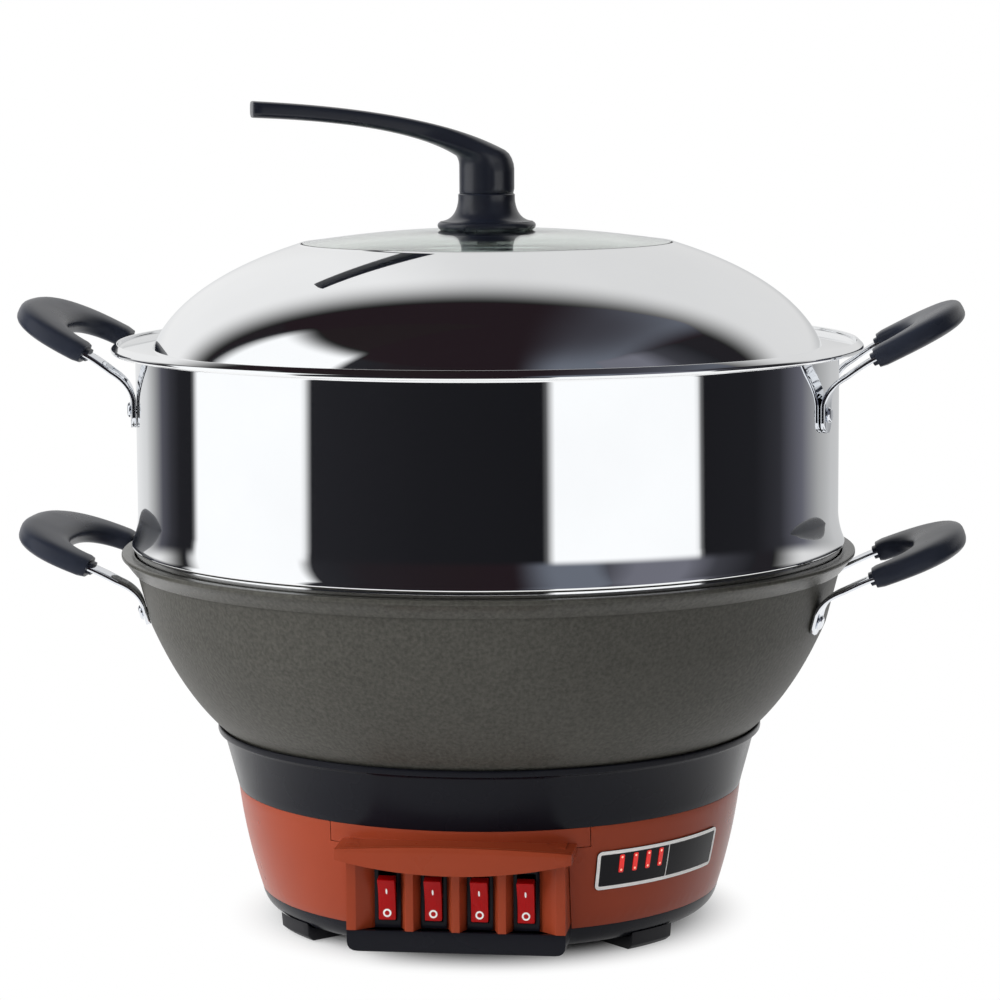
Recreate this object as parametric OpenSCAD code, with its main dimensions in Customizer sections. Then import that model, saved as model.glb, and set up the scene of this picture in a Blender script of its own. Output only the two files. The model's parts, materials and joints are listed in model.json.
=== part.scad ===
// Electric cooking pot with a steamer tier and a glass-topped lid.
// Millimetres, +Z up. The origin is on the pot's axis at the surface it stands on.
// The control panel faces -Y, and the grips lie along +X and -X.

/* [Feet and tray] */
// Width of a foot along the tray's edge
foot_w = 28; // [20:0.5:32]
// Distance from the shell's lower edge in to a foot's inner side
foot_deep = 31; // [29:0.5:34]
// Height of a foot
foot_h = 6; // [4:0.5:12]
// Distance from the shell's lower edge in to each foot's stud
foot_inset = 23; // [20:0.5:24]
// Angle of the feet from the side axis
foot_angle = 38; // [35:1:40]
// Thickness of the tray's floor
tray_floor_t = 2.5; // [2:0.25:4]
// Height of the tray from its underside to its lip
tray_h = 10; // [8:0.5:14]
// Width of the tray's rounded lower edge
tray_round = 11; // [8:0.5:14]

/* [Body shell] */
// Outer radius at the shell's upper edge
shell_top_r = 126; // [114:0.5:138]
// Height of the shell
shell_h = 51; // [46:0.5:64]
// How much narrower the shell is at its lower edge
shell_taper = 11; // [8:0.5:13]
// How far in from the upper edge the line lies that the side bows out towards
shell_belly_in = 3; // [2:0.25:5]
// Wall of the shell, tray lip and panel
shell_wall = 2.5; // [2:0.25:3.5]
// Width of the shell's upper flange, inwards from the wall
shell_flange_w = 11; // [9:0.5:12]
// Thickness of the shell's upper flange
shell_flange_t = 3; // [2.5:0.25:4]
// Distance from the shell's lower edge in to the tray screws
tray_screw_inset = 17; // [15:0.5:20]
// Depth to which a tray screw reaches into its boss
tray_screw_grip = 16; // [10:1:20]

/* [Control panel] */
// Width of the switch box
panel_w = 104; // [100:0.5:112]
// How far the switch box's front stands out from the shell's lower edge
panel_stand = 11; // [9:0.5:15]
// Height of the switch box above its bays
bay_head = 9; // [8:0.25:12]
// Depth of the switch bays
bay_depth = 7; // [6:0.25:9]
// Width of a rib's crest between two bays
rib_crest_w = 3.8; // [2.5:0.1:5]
// Width of the flat crest at each end of the switch box
pillar_w = 4.5; // [3.5:0.25:6]
// Distance between switch centres
switch_pitch = 22; // [21:0.25:23]
// How far the hood's ends stand out beside the switch box
hood_side = 4; // [3:0.5:6]
// How far the hood's middle stands out from the switch box
hood_reach = 15; // [10:0.5:20]
// How far the hood's ends lie behind its middle
hood_sweep = 5; // [3:0.5:9]
// Height of the hood's front lip in the middle
hood_lip_h = 13.5; // [10:0.25:15]
// How much lower the hood's middle hangs than its ends
hood_droop = 5.5; // [3:0.25:6]
// How much higher the hood's middle stands than its ends
hood_crown = 3; // [1:0.25:4]
// Thickness of the hood's lip
hood_lip_t = 3.5; // [2.5:0.25:5]
// How far the panel's upper patch reaches beside the hood, up to its seam
patch_side = 6; // [4:0.5:9]

/* [Rocker switches] */
// Width of a switch bezel
bezel_w = 12.4; // [12:0.1:13]
// How much shorter a switch bezel is than its bay
bezel_room = 2; // [1.5:0.25:4]
// Thickness of a switch bezel
bezel_t = 2; // [1.5:0.1:2.5]
// Depth of a switch housing behind the bezel
housing_depth = 16; // [14:0.5:20]
// Width of a rocker
rocker_w = 8.2; // [7.6:0.1:8.4]
// How much shorter a rocker is than its bezel
rocker_room = 10.4; // [9.5:0.1:12]
// Whole angle through which a rocker tips
rocker_throw = 24; // [16:1:26]
// Radius of a rocker's pivot pins
pivot_r = 1.4; // [1.1:0.05:1.6]

/* [Indicator plate] */
// Angle from the front to the plate's near end
plate_start = 31.5; // [31:0.5:40]
// Angle that the plate spans
plate_span = 40; // [34:0.5:44]
// Height of the plate
plate_h = 19.5; // [16:0.5:22]
// Height of the plate's middle above the shell's lower edge
plate_mid_h = 28.5; // [24:0.5:32]
// Thickness of the plate
plate_t = 0.8; // [0.5:0.1:1.2]
// Angle from the plate's near end to the middle of the lamp row
lamp_row_angle = 12.3; // [11:0.1:14]
// Distance between lamps
lamp_pitch = 8; // [6.5:0.1:8.5]
// Width of a lamp
lamp_w = 2.8; // [2:0.1:4]
// Height of a lamp
lamp_h = 9; // [7:0.25:11]
// Slant of a lamp
lamp_slant = 5; // [0:1:12]

/* [Insulating ring] */
// Height of the ring
ring_h = 31; // [28:0.5:36]
// Thickness of the ring's inner flange
ring_flange_t = 3; // [2.5:0.25:4]
// Wall of the ring
ring_wall = 2.6; // [2:0.1:3]
// Height of the ring's upper lip
ring_lip_h = 3; // [2:0.25:4]

/* [Pot] */
// Outer radius of the pot's rim
pot_rim_r = 182.5; // [164:0.5:202]
// Height of the pot from its underside to its rim
pot_h = 105; // [92:0.5:130]
// How far the rim stands out from the wall under it
pot_rim_w = 7.5; // [6:0.25:9]
// How far in from that wall the pot's shoulder lies
pot_shoulder_in = 6.5; // [5:0.25:9]
// Depth of the shoulder below the rim
pot_shoulder_drop = 35; // [34:0.5:42]
// Share of the way from floor to shoulder towards which the pot's heel swells
pot_heel_share = 0.631; // [0.6:0.001:0.66]
// How far in from the foot ring the pot's flat underside ends
pot_floor_in = 12; // [8:0.5:14]
// Width of the foot ring
pot_foot_w = 12; // [11:0.25:14]
// Height of the rim band
pot_band_h = 9.6; // [8:0.2:12]
// Wall of the pot
pot_wall = 3.5; // [3:0.1:4.5]
// Thickness of the pot's floor
pot_floor_t = 4; // [3:0.25:6]
// Depth of the seat inside the rim
pot_seat_depth = 4; // [3:0.25:6]
// Height of the foot ring that stands on the insulating ring
pot_foot_h = 10; // [9:0.25:14]

/* [Steamer] */
// How far in from the pot's rim the steamer's wall lies
steamer_inset = 8.5; // [8:0.25:9.5]
// Height of the steamer from its seat to its flange
steamer_h = 104.4; // [96:0.5:140]
// Thickness of the steel sheet of steamer and lid
sheet = 0.8; // [0.6:0.05:1]
// How far the rolled rim stands out from the steamer's wall
steamer_rim_w = 12; // [11:0.25:14]
// Radius of the rolled rim's bead
bead_r = 2; // [1.5:0.1:2.4]
// Height of the neck that sits in the pot
neck_h = 6.4; // [5.5:0.1:9]
// How far the lower bead stands out from the wall
stack_bead = 3.2; // [2:0.1:3.4]
// Height of the flare above the lower bead
flare_h = 12; // [8:0.5:16]
// How far the steamer's lower edge is turned in
edge_in = 3; // [2:0.1:3.6]
// Width of the ring that carries the steam tray
ledge_w = 16; // [10:0.5:20]

/* [Steam tray] */
// Thickness of the tray plate
plate_sheet = 1.2; // [0.8:0.1:2]
// Radius of a steam hole
steam_hole_r = 4; // [2:0.1:5]
// Distance between rings of steam holes
steam_ring_step = 28; // [24:0.5:30]
// Radius of the finger hole in the middle
finger_hole_r = 12; // [9:0.25:14]

/* [Lid] */
// Height of the dome from its brim to the glass frame
lid_h = 50.8; // [40:0.2:64]
// Radius of the glass window's frame
glass_frame_r = 93; // [84:0.5:98]
// How far in from the steamer's wall the dome's foot lies
dome_foot_in = 8.5; // [6:0.5:14]
// How far in from its foot the line lies that the dome bulges towards
dome_bulge_in = 14.5; // [10:0.5:24]
// Depth of the dome's bulge point under the glass frame
dome_bulge_drop = 18.2; // [12:0.2:22]
// How far in from the steamer's rim the lid's brim ends
brim_in = 6; // [5.5:0.25:7.5]
// Thickness of the glass
glass_t = 4; // [3:0.25:5]
// How far the glass rises from its edge to its middle
glass_rise = 6; // [3:0.25:10]
// Thickness of the glass seal
seal_t = 1.5; // [1:0.1:2]

/* [Lid handle] */
// Direction of the arm about the axis
arm_angle = 198; // [170:1:220]
// Reach of the arm from the axis
arm_reach = 116; // [90:1:120]
// Width of the arm
arm_w = 17; // [14:0.5:20]
// Thickness of the arm at its tip
arm_tip_t = 8.2; // [6:0.2:10]
// Height of the arm's tip over the post's foot
arm_tip_h = 46; // [40:0.5:56]
// Height of the post from the seam to the arm
post_h = 18; // [14:0.5:24]
// Radius of the post
post_r = 13.4; // [12:0.2:15]
// Height of the flared collar
collar_h = 18; // [14:0.5:24]
// Radius of the collar's flange
collar_r = 24.3; // [20:0.1:25]

/* [Grips and straps] */
// Half the distance between a grip's two legs
leg_half_gap = 46; // [42:0.5:48]
// Width of a leg
leg_w = 19; // [16:0.5:22]
// Reach of a grip from its leg ends to its outer edge
grip_reach = 46; // [38:0.5:50]
// Width of a grip's outer bar
grip_bar_w = 26; // [20:0.5:28]
// Thickness of a grip
grip_t = 12; // [10:0.25:14]
// Distance from the pot's rim to the leg ends of its grips
pot_grip_stand = 10.5; // [9:0.5:16]
// Distance from the steamer's rim to the leg ends of its grips
steamer_grip_stand = 7; // [6:0.5:12]
// Upward tilt of the pot's grips
pot_grip_tilt = 20.5; // [14:0.5:24]
// Height of the pot's leg ends below the rim
pot_grip_drop = 7; // [5:0.25:9]
// Upward tilt of the steamer's grips
steamer_grip_tilt = 27; // [18:0.5:30]
// Height of the steamer's leg ends below the flange
steamer_grip_drop = 1.5; // [0:0.25:3]
// Width of a strap
strap_w = 12; // [9:0.25:13]
// Thickness of a strap
strap_t = 2.8; // [2:0.1:3.2]
// Length of a strap's end inside the grip
strap_tail = 13; // [8:0.5:15]
// Radius of a rivet's shank
rivet_r = 2; // [1.5:0.1:2.5]
// Radius of a rivet's head
rivet_head_r = 4; // [3.2:0.1:4.5]

/* [Heater] */
// How far in from the pot's flat underside the heater plate ends
heater_inset = 4; // [2:0.5:8]
// Thickness of the heater plate
heater_t = 4; // [3:0.25:5]
// Radius of a heating tube
tube_r = 4; // [3:0.1:4.2]
// Distance from the heater plate's edge in to the outer heating tube
outer_tube_in = 18; // [14:0.5:22]
// Distance between the two heating tubes
tube_gap = 24; // [20:0.5:28]
// Depth of the heat shield's pan
shield_depth = 10; // [9:0.25:12]
// Radius of a pot stud
stud_r = 2.5; // [2:0.1:3]

/* [Mains inlet] */
// Height of the inlet's middle above the shell's lower edge
inlet_mid_h = 26; // [24:0.5:30]
// How far the inlet boss stands out from the shell's upper edge
inlet_stand = 1; // [0.5:0.25:4]
// Distance between the inlet's screws
inlet_screw_gap = 40; // [39:0.25:42]

/* [Hidden] */
$fn = 96;
// Clearances: a fixed pin in its hole, a running pin in its bore, and a seam between mouldings
fit = 0.05;
run_fit = 0.05;
seam = 0.3;
// Overlap that fuses the pieces of one solid, and overshoot of a cut
lap = 1;
over = 1;
// Steps along a curved outline
arc_steps = 12;

// Heights, from the surface up
z_tray = foot_h;
z_shell = z_tray + tray_h;
z_ring = z_shell + shell_h;
z_seat = z_ring + ring_flange_t;
z_pot = z_seat + pot_foot_h;
z_ring_top = z_ring + ring_h;
z_rim = z_pot + pot_h;
z_band = z_rim - pot_band_h;
z_ledge = z_rim - pot_seat_depth;
z_flange = z_ledge + steamer_h;
z_frame = z_flange + lid_h;
frame_depth = seal_t + glass_t - 0.3;
z_glass_edge = z_frame - frame_depth + seal_t;
z_glass_mid = z_glass_edge + glass_rise;
z_glass_top = z_glass_mid + glass_t;
z_post = z_glass_top + collar_h;
z_arm = z_post + post_h;
z_tip = z_post + arm_tip_h;

// Radii of the base, from the shell's upper edge in
shell_bottom_r = shell_top_r - shell_taper;
shell_belly_r = shell_top_r - shell_belly_in;
flange_inner_r = shell_top_r - shell_wall - shell_flange_w;
foot_pitch_r = shell_bottom_r - foot_inset;
tray_screw_pitch_r = shell_bottom_r - tray_screw_inset;
panel_front = shell_bottom_r + panel_stand;
inlet_face = shell_top_r + inlet_stand;
foot_ring_out = flange_inner_r - 0.5;
foot_ring_in = foot_ring_out - pot_foot_w;
pot_floor_r = foot_ring_in - pot_floor_in;
heater_r = pot_floor_r - heater_inset;
outer_tube_r = heater_r - outer_tube_in;
inner_tube_r = outer_tube_r - tube_gap;

// Radii of pot, steamer, lid and grips, from the pot's rim
pot_neck_r = pot_rim_r - pot_rim_w;
pot_shoulder_r = pot_neck_r - pot_shoulder_in;
pot_shoulder_h = pot_h - pot_shoulder_drop;
pot_heel_r = pot_floor_r + pot_heel_share * (pot_shoulder_r - pot_floor_r);
steamer_r = pot_rim_r - steamer_inset;
steamer_rim_r = steamer_r + steamer_rim_w;
dome_foot_r = steamer_r - dome_foot_in;
dome_bulge_r = dome_foot_r - dome_bulge_in;
brim_r = steamer_rim_r - brim_in;
pot_grip_x = pot_rim_r + pot_grip_stand;
steamer_grip_x = steamer_rim_r + steamer_grip_stand;

// Pot seat, and the radii of the steamer's neck that drops into it
pot_inner_neck_r = pot_neck_r - pot_wall;
lower_bead_r = steamer_r + stack_bead;
neck_r = steamer_r + 1.6;
pot_seat_r = neck_r + 0.5;
neck_round = 0.8;
z_neck = z_ledge + neck_h;
z_carrier = z_neck + 1.2;
z_steam = z_carrier + sheet;

// Shell, flange and boss places
ring_screw_pitch_r = flange_inner_r + shell_flange_w / 2;
ring_screw_angles = [30, 150, 210, 330];
tray_screw_angles = [20, 160, 240, 300];
boss_r = 5;
boss_h = 21.3;
screw_r = 2;
screw_head_r = 3.6;
screw_head_h = 2.2;
z_boss = z_shell + 2;

// Control panel places
z_panel = z_shell + 2.5;
panel_back = panel_front - 24;
panel_top_h = shell_h - 9;
z_panel_top = z_panel + panel_top_h;
z_patch = z_panel_top - 3;
bay_y = panel_front - bay_depth;
bay_floor_w = bezel_w + 2 * seam;
rib_mouth = (switch_pitch - rib_crest_w) / 2;
pillar_mouth = panel_w / 2 - pillar_w - 1.5 * switch_pitch;
bay_h = panel_top_h - bay_head;
bezel_h = bay_h - bezel_room;
rocker_len = bezel_h - rocker_room;
z_switch = z_panel + bezel_h / 2 + 0.5;
switch_x = [for (i = [0 : 3]) (i - 1.5) * switch_pitch];
hood_half_w = panel_w / 2 + hood_side;
patch_half_w = hood_half_w + patch_side;
panel_cut = 0.62 * flange_inner_r;
hood_y = panel_front + hood_reach;
hood_r = (hood_half_w * hood_half_w + hood_sweep * hood_sweep) / (2 * hood_sweep);
z_hood = z_panel_top - 11.5;
z_hood_top = z_hood + hood_lip_h;
hood_low_r = (hood_half_w * hood_half_w + hood_droop * hood_droop) / (2 * hood_droop);
hood_high_r = (hood_half_w * hood_half_w + hood_crown * hood_crown) / (2 * hood_crown);
hood_roof_t = 3;
apron_round = 5;

// Rocker switch places: the pivot lies behind the bezel, and the rocker rests on its lower end
housing_w = bezel_w - 1.8;
housing_h = bezel_h - 3;
pivot_y = bay_y - 1;
well_w = rocker_w + 2 * seam;
well_h = rocker_len + 3.2;
well_depth = 11;
rocker_crest = 7;
rocker_dip = 1.6;
rocker_waist = 2;
rocker_root = 3.5;
rocker_root_half = 4.5;
pin_reach = (housing_w - well_w) / 2 - 0.3;
blade_w = 4.8;
blade_t = 0.8;
blade_len = 9;
blade_step = 8;

// Indicator plate and lamps
z_plate = z_shell + plate_mid_h;
z_lamp = z_plate + 1.5;
lamp_angle = plate_start + lamp_row_angle;
lamp_front_r = shell_r(z_lamp) + plate_t + 0.3;
lamp_len = 6.5;
lamp_board_t = 1.6;
lamp_frame = 0.25;

// Ring and heater places
stud_pitch_r = (foot_ring_in + foot_ring_out) / 2;
stud_angles = [45, 135, 225, 315];
stud_grip = 7;
nut_h = 4;
nut_r = 4.6;
ring_inner_r = foot_ring_in - 3;
ring_lip_in = pot_r(z_ring_top) + 0.6;
ring_top_r = ring_lip_in + 1.3;
shield_sheet = 1;
z_shield = z_ring - shield_sheet;
z_pan = z_shield - shield_depth;
pan_r = foot_ring_in - 5;
shield_r = foot_ring_out - 0.6;
z_heater = z_pot - heater_t;
z_tube = z_heater - tube_r - seam;
tube_start = 110;
tube_sweep = 320;
tube_pin_r = 2.6;
tube_pin_len = 22;
tube_pin_inset = 3.2;
thermostat_r = 10;
thermostat_h = 8;
fuse_place = 0.69 * inner_tube_r;

// Rear places
z_inlet = z_shell + inlet_mid_h;
inlet_boss_w = 60;
inlet_boss_h = 36;
inlet_flange = [52, 3, 24];
inlet_body = [27.6, 20, 20.2];
inlet_cavity = [24.4, 17, 16.4];
inlet_pin = [4, 24, 2];
inlet_pin_places = [[-7, -2.5], [7, -2.5], [0, 3]];
inlet_screw_r = 1.6;
inlet_screw_len = 7;
block_size = [44, 18, 14];
block_y = inlet_face - 65;
z_floor = z_tray + tray_floor_t;
wire_r = 1.3;

// Grip, strap and rivet places
strap_angle = asin(leg_half_gap / steamer_r);
pot_slope = (pot_neck_r - pot_shoulder_r) / (z_band - z_pot - pot_shoulder_h);
pot_lean = atan(pot_slope);
plate_drop = 17;
steamer_plate_drop = 21;
strap_lead = [-3, -5];
z_pot_plate = z_rim - 18;
z_steamer_plate = z_flange - 16.5;
z_pot_grip = z_rim - pot_grip_drop;
z_steamer_grip = z_flange - steamer_grip_drop;
rivet_drop = 10.5;
arm_gap = 0.6;
rivet_head_t = 1.4;

// Lid handle places
collar_neck_r = post_r + 0.6;
collar_flange_t = 3.4;
handle_screw_r = 2.5;
screw_reach = 11;
washer_r = 14;
washer_t = 2;
handle_head_r = 5;
handle_head_h = 3;
glass_bore_r = 5;
glass_flat_r = 26;
skirt_r = steamer_r - sheet - 1.4;
skirt_h = 5.4;
frame_lip = 9;

// Outline helpers

// A curve from p to q that leaves p towards c and reaches q from c.
function bow(p, c, q, n = arc_steps) =
    [for (i = [0 : n]) let (t = i / n) (1 - t) * (1 - t) * p + 2 * t * (1 - t) * c + t * t * q];

// The list in the other order.
function reversed(list) = [for (i = [len(list) - 1 : -1 : 0]) list[i]];

function unit(v) = v / norm(v);

// Direction of a path at one of its points.
function heading(path, i) = unit(path[min(i + 1, len(path) - 1)] - path[max(i - 1, 0)]);

// The outline of a strip of thickness t along a path in a plane.
function ribbon(path, t) = let (
    left = [for (i = [0 : len(path) - 1]) let (d = heading(path, i)) path[i] + [-d[1], d[0]] * t / 2],
    right = [for (i = [0 : len(path) - 1]) let (d = heading(path, i)) path[i] - [-d[1], d[0]] * t / 2]
) concat(left, reversed(right));

// Half of a squared-off oval, from one side over the far end to the other side.
function ear(reach, half, n = 24) = [for (i = [0 : n]) let (
    a = -90 + 180 * i / n,
    s = sin(a),
    c = max(cos(a), 0)
) [reach * pow(c, 0.8), half * sign(s) * pow(abs(s), 0.8)]];

// Outer radius of the body shell at a height.
function shell_r(z) = let (t = (z - z_shell) / shell_h)
    (1 - t) * (1 - t) * shell_bottom_r + 2 * t * (1 - t) * shell_belly_r + t * t * shell_top_r;

// Outer radius of the pot's rounded heel at a height.
function pot_r(z) = let (t = sqrt((z - z_pot) / pot_shoulder_h))
    (1 - t) * (1 - t) * pot_floor_r + 2 * t * (1 - t) * pot_heel_r + t * t * pot_shoulder_r;

// Outer radius of the pot's upper wall at a height.
function pot_wall_r(z) = pot_shoulder_r + (z - z_pot - pot_shoulder_h) * pot_slope;

// Points of the shell's side between two heights, moved outwards by some amount.
function shell_side(low, high, out = 0, n = arc_steps) =
    [for (i = [0 : n]) let (z = low + (high - low) * i / n) [shell_r(z) + out, z]];

// Corners of a tube swept along a path that never runs along X.
function tube_points(path, r, sides) = [for (i = [0 : len(path) - 1]) let (
    d = heading(path, i),
    u = unit(cross(d, [1, 0, 0])),
    v = cross(d, u)
) for (k = [0 : sides - 1]) path[i] + r * (cos(360 * k / sides) * u + sin(360 * k / sides) * v)];

// Shape helpers

module turned(points) {
    rotate_extrude() polygon(points);
}

// Copies of the children at angles round the axis.
module around(angles) {
    for (a = angles) rotate([0, 0, a]) children();
}

module wire(path, r = wire_r, sides = 8) {
    n = len(path);
    skin = [for (i = [0 : n - 2]) for (k = [0 : sides - 1]) for (f = [0, 1]) let (
        a = i * sides + k,
        b = i * sides + (k + 1) % sides
    ) f == 0 ? [a, b, b + sides] : [a, b + sides, a + sides]];
    near = [[for (k = [sides - 1 : -1 : 0]) k]];
    far = [[for (k = [0 : sides - 1]) (n - 1) * sides + k]];
    polyhedron(tube_points(path, r, sides), concat(near, skin, far));
}

// A cylinder across X, centred on the origin.
module pin_x(r, length) {
    rotate([0, 90, 0]) cylinder(r = r, h = length, center = true);
}

// A cylinder along Y, from y to y + length.
module pin_y(r, y, length) {
    translate([0, y + length, 0]) rotate([90, 0, 0]) cylinder(r = r, h = length);
}

// Feet and tray

// The tray's rounded lower side, from its flat underside up to its lip.
function tray_side() = bow([shell_bottom_r - tray_round, z_tray], [shell_bottom_r - 2, z_tray],
    [shell_bottom_r, z_shell]);

// Blocks under the tray's edge, each following its round and held by a stud through the floor.
module feet() {
    side = [for (i = [1 : 7]) tray_side()[i] + [seam, -seam]];
    edge_r = side[6][0];
    sole = [[shell_bottom_r - foot_deep, 0], [edge_r - 3.5, 0], [edge_r - 0.6, 2.4]];
    seat = [[shell_bottom_r - tray_round, z_tray], [shell_bottom_r - foot_deep, z_tray]];
    turn = foot_w / edge_r * 180 / PI;
    color([0.09, 0.09, 0.1]) around([foot_angle, 180 - foot_angle, 180 + foot_angle, -foot_angle]) {
        rotate([0, 0, -turn / 2]) rotate_extrude(angle = turn) polygon(concat(sole, reversed(side), seat));
        translate([foot_pitch_r, 0, z_tray - lap]) cylinder(r = 3, h = tray_floor_t + lap + 0.8);
    }
}

module tray_round_outline() {
    outer = tray_side();
    inner = bow([shell_bottom_r - tray_round, z_floor], [shell_bottom_r - 2 - shell_wall, z_floor],
        [shell_bottom_r - shell_wall, z_shell]);
    turned(concat([[0, z_tray]], outer, reversed(inner), [[0, z_floor]]));
}

// The block under the switch box, with its two lower edges rounded.
module apron_block(inset, low, high) {
    half = panel_w / 2 - inset;
    round = apron_round - inset;
    translate([0, -panel_back + 2, 0]) rotate([90, 0, 0]) linear_extrude(panel_front - panel_back + 2 - inset)
        polygon(concat([[-half, high]], bow([-half, low + round], [-half, low], [-half + round, low], 4),
            bow([half - round, low], [half, low], [half, low + round], 4), [[half, high]]));
}

module bottom_tray() {
    vent_w = 5;
    color([0.1, 0.1, 0.11]) difference() {
        union() {
            tray_round_outline();
            apron_block(0, z_tray + 2.5, z_panel);
            around(tray_screw_angles) translate([tray_screw_pitch_r, 0, z_floor - lap])
                cylinder(r = boss_r, h = z_boss - z_floor + lap);
        }
        intersection() {
            apron_block(shell_wall, z_tray + 2.5 + shell_wall, z_panel + over);
            difference() {
                translate([-panel_w, -2 * panel_front, 0]) cube([2 * panel_w, 2 * panel_front, z_panel + over]);
                cylinder(r = shell_bottom_r - shell_wall / 2, h = z_panel + over);
            }
        }
        translate([0, 0, z_shell]) intersection() {
            cylinder(r = shell_bottom_r - shell_wall, h = z_panel);
            difference() {
                translate([-panel_w / 2 + shell_wall, -panel_front, 0])
                    cube([panel_w - 2 * shell_wall, panel_front - 40, z_panel]);
                around(tray_screw_angles) translate([tray_screw_pitch_r, 0, 0])
                    cylinder(r = boss_r + seam, h = z_panel);
            }
        }
        around(tray_screw_angles) translate([tray_screw_pitch_r, 0, 0]) {
            cylinder(r = screw_r + fit, h = z_boss + over);
            cylinder(r = screw_head_r + fit, h = z_tray + screw_head_h + 0.4);
        }
        around([foot_angle, 180 - foot_angle, 180 + foot_angle, -foot_angle])
            translate([foot_pitch_r, 0, 0]) cylinder(r = 3 + fit, h = z_floor + over);
        around([0 : 45 : 315]) translate([30, -vent_w / 2, z_tray - over])
            cube([30, vent_w, tray_floor_t + 2 * over]);
    }
}

module tray_screws() {
    color([0.72, 0.72, 0.72]) around(tray_screw_angles) translate([tray_screw_pitch_r, 0, z_tray + 0.2]) {
        cylinder(r = screw_head_r, h = screw_head_h);
        cylinder(r = screw_r, h = z_boss + tray_screw_grip - z_tray);
    }
}

// Body shell

// The shell's wall and upper flange as one turned piece, before its openings are cut.
module shell_turning() {
    outer = shell_side(z_shell, z_ring);
    inner = reversed(shell_side(z_shell, z_ring - shell_flange_t, -shell_wall));
    turned(concat(outer, [[flange_inner_r, z_ring], [flange_inner_r, z_ring - shell_flange_t]], inner));
}

// A solid core with the shell's side, moved outwards by some amount.
module shell_core(out, high = z_ring) {
    side = shell_side(z_shell, high, out);
    turned(concat([[0, z_shell]], side, [[0, high]]));
}

// The space in the shell's front that the control panel fills, grown by a gap.
module panel_space(gap) {
    translate([-panel_w / 2 - gap, -2 * panel_front, z_shell - over])
        cube([panel_w + 2 * gap, 2 * panel_front - panel_cut, z_patch - z_shell + over]);
    translate([-patch_half_w - gap, -2 * panel_front, z_patch - gap])
        cube([2 * patch_half_w + 2 * gap, 2 * panel_front - panel_cut, z_ring - z_patch + gap + over]);
}

module lamp_row() {
    rotate([0, 0, lamp_angle - 90]) for (i = [0 : 3]) translate([0, (i - 1.5) * lamp_pitch, z_lamp]) children();
}

// A block as large as a lamp, grown by a gap, lying along X with its front at the lamp's face.
module lamp_block(gap) {
    rotate([-lamp_slant, 0, 0]) translate([lamp_front_r - lamp_len - gap, -lamp_w / 2 - gap, -lamp_h / 2 - gap])
        cube([lamp_len + 2 * gap, lamp_w + 2 * gap, lamp_h + 2 * gap]);
}

// The rib that ties a screw boss to the wall, ending inside the wall.
module boss_rib() {
    top = z_boss + boss_h;
    rotate([90, 0, 0]) linear_extrude(3, center = true) polygon([[tray_screw_pitch_r, z_boss],
        [shell_r(z_boss) - shell_wall / 2, z_boss], [shell_r(top) - shell_wall / 2, top],
        [tray_screw_pitch_r, top]]);
}

module body_shell() {
    color([0.6, 0.29, 0.2]) difference() {
        union() {
            difference() {
                union() {
                    shell_turning();
                    difference() {
                        translate([-inlet_boss_w / 2, 0, z_inlet - inlet_boss_h / 2])
                            cube([inlet_boss_w, inlet_face, inlet_boss_h]);
                        shell_core(-shell_wall / 2);
                    }
                }
                panel_space(seam);
            }
            around(tray_screw_angles) {
                translate([tray_screw_pitch_r, 0, z_boss]) cylinder(r = boss_r, h = boss_h);
                boss_rib();
            }
        }
        around(tray_screw_angles) translate([tray_screw_pitch_r, 0, z_boss - over])
            cylinder(r = screw_r + fit, h = tray_screw_grip + over + 1);
        around(ring_screw_angles) translate([ring_screw_pitch_r, 0, z_ring - shell_flange_t - over])
            cylinder(r = screw_r + fit, h = shell_flange_t + 2 * over);
        translate([-inlet_body[0] / 2 - seam, 0, z_inlet - inlet_body[2] / 2 - seam])
            cube([inlet_body[0] + 2 * seam, inlet_face + over, inlet_body[2] + 2 * seam]);
        for (s = [-1, 1]) translate([s * inlet_screw_gap / 2, 0, z_inlet])
            pin_y(inlet_screw_r + fit, inlet_face - inlet_screw_len - 1, inlet_screw_len + 1 + over);
        lamp_row() lamp_block(lamp_frame);
    }
}

// Control panel

// Plan of the hood, cut off straight behind the switch box's front wall.
module hood_plan(inset) {
    intersection() {
        translate([0, -hood_y + hood_r]) circle(r = hood_r - inset);
        translate([-hood_half_w + inset, -hood_y - over])
            square([2 * hood_half_w - 2 * inset, hood_y - panel_back + over]);
    }
}

module hood() {
    difference() {
        intersection() {
            translate([0, 0, z_hood]) linear_extrude(hood_lip_h) hood_plan(0);
            translate([0, 0, z_hood + hood_low_r]) rotate([90, 0, 0])
                cylinder(r = hood_low_r, h = 2 * hood_y, $fn = 360);
            translate([0, 0, z_hood_top - hood_high_r]) rotate([90, 0, 0])
                cylinder(r = hood_high_r, h = 2 * hood_y, $fn = 360);
        }
        shell_core(seam, z_patch);
        intersection() {
            translate([0, 0, z_hood - over]) linear_extrude(hood_lip_h) intersection() {
                hood_plan(hood_lip_t);
                translate([-panel_w / 2, -2 * hood_y]) square([panel_w, 2 * hood_y - panel_front]);
            }
            translate([0, 0, z_hood_top - hood_roof_t - hood_high_r]) rotate([90, 0, 0])
                cylinder(r = hood_high_r, h = 2 * hood_y, $fn = 360);
        }
    }
}

// Plan of one switch bay, wider at its mouth: how far the mouth reaches to the left and to the right.
module bay_plan(left, right) {
    polygon([[-bay_floor_w / 2, -bay_y], [bay_floor_w / 2, -bay_y], [right, -panel_front],
        [right, -panel_front - over], [-left, -panel_front - over], [-left, -panel_front]]);
}

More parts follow.
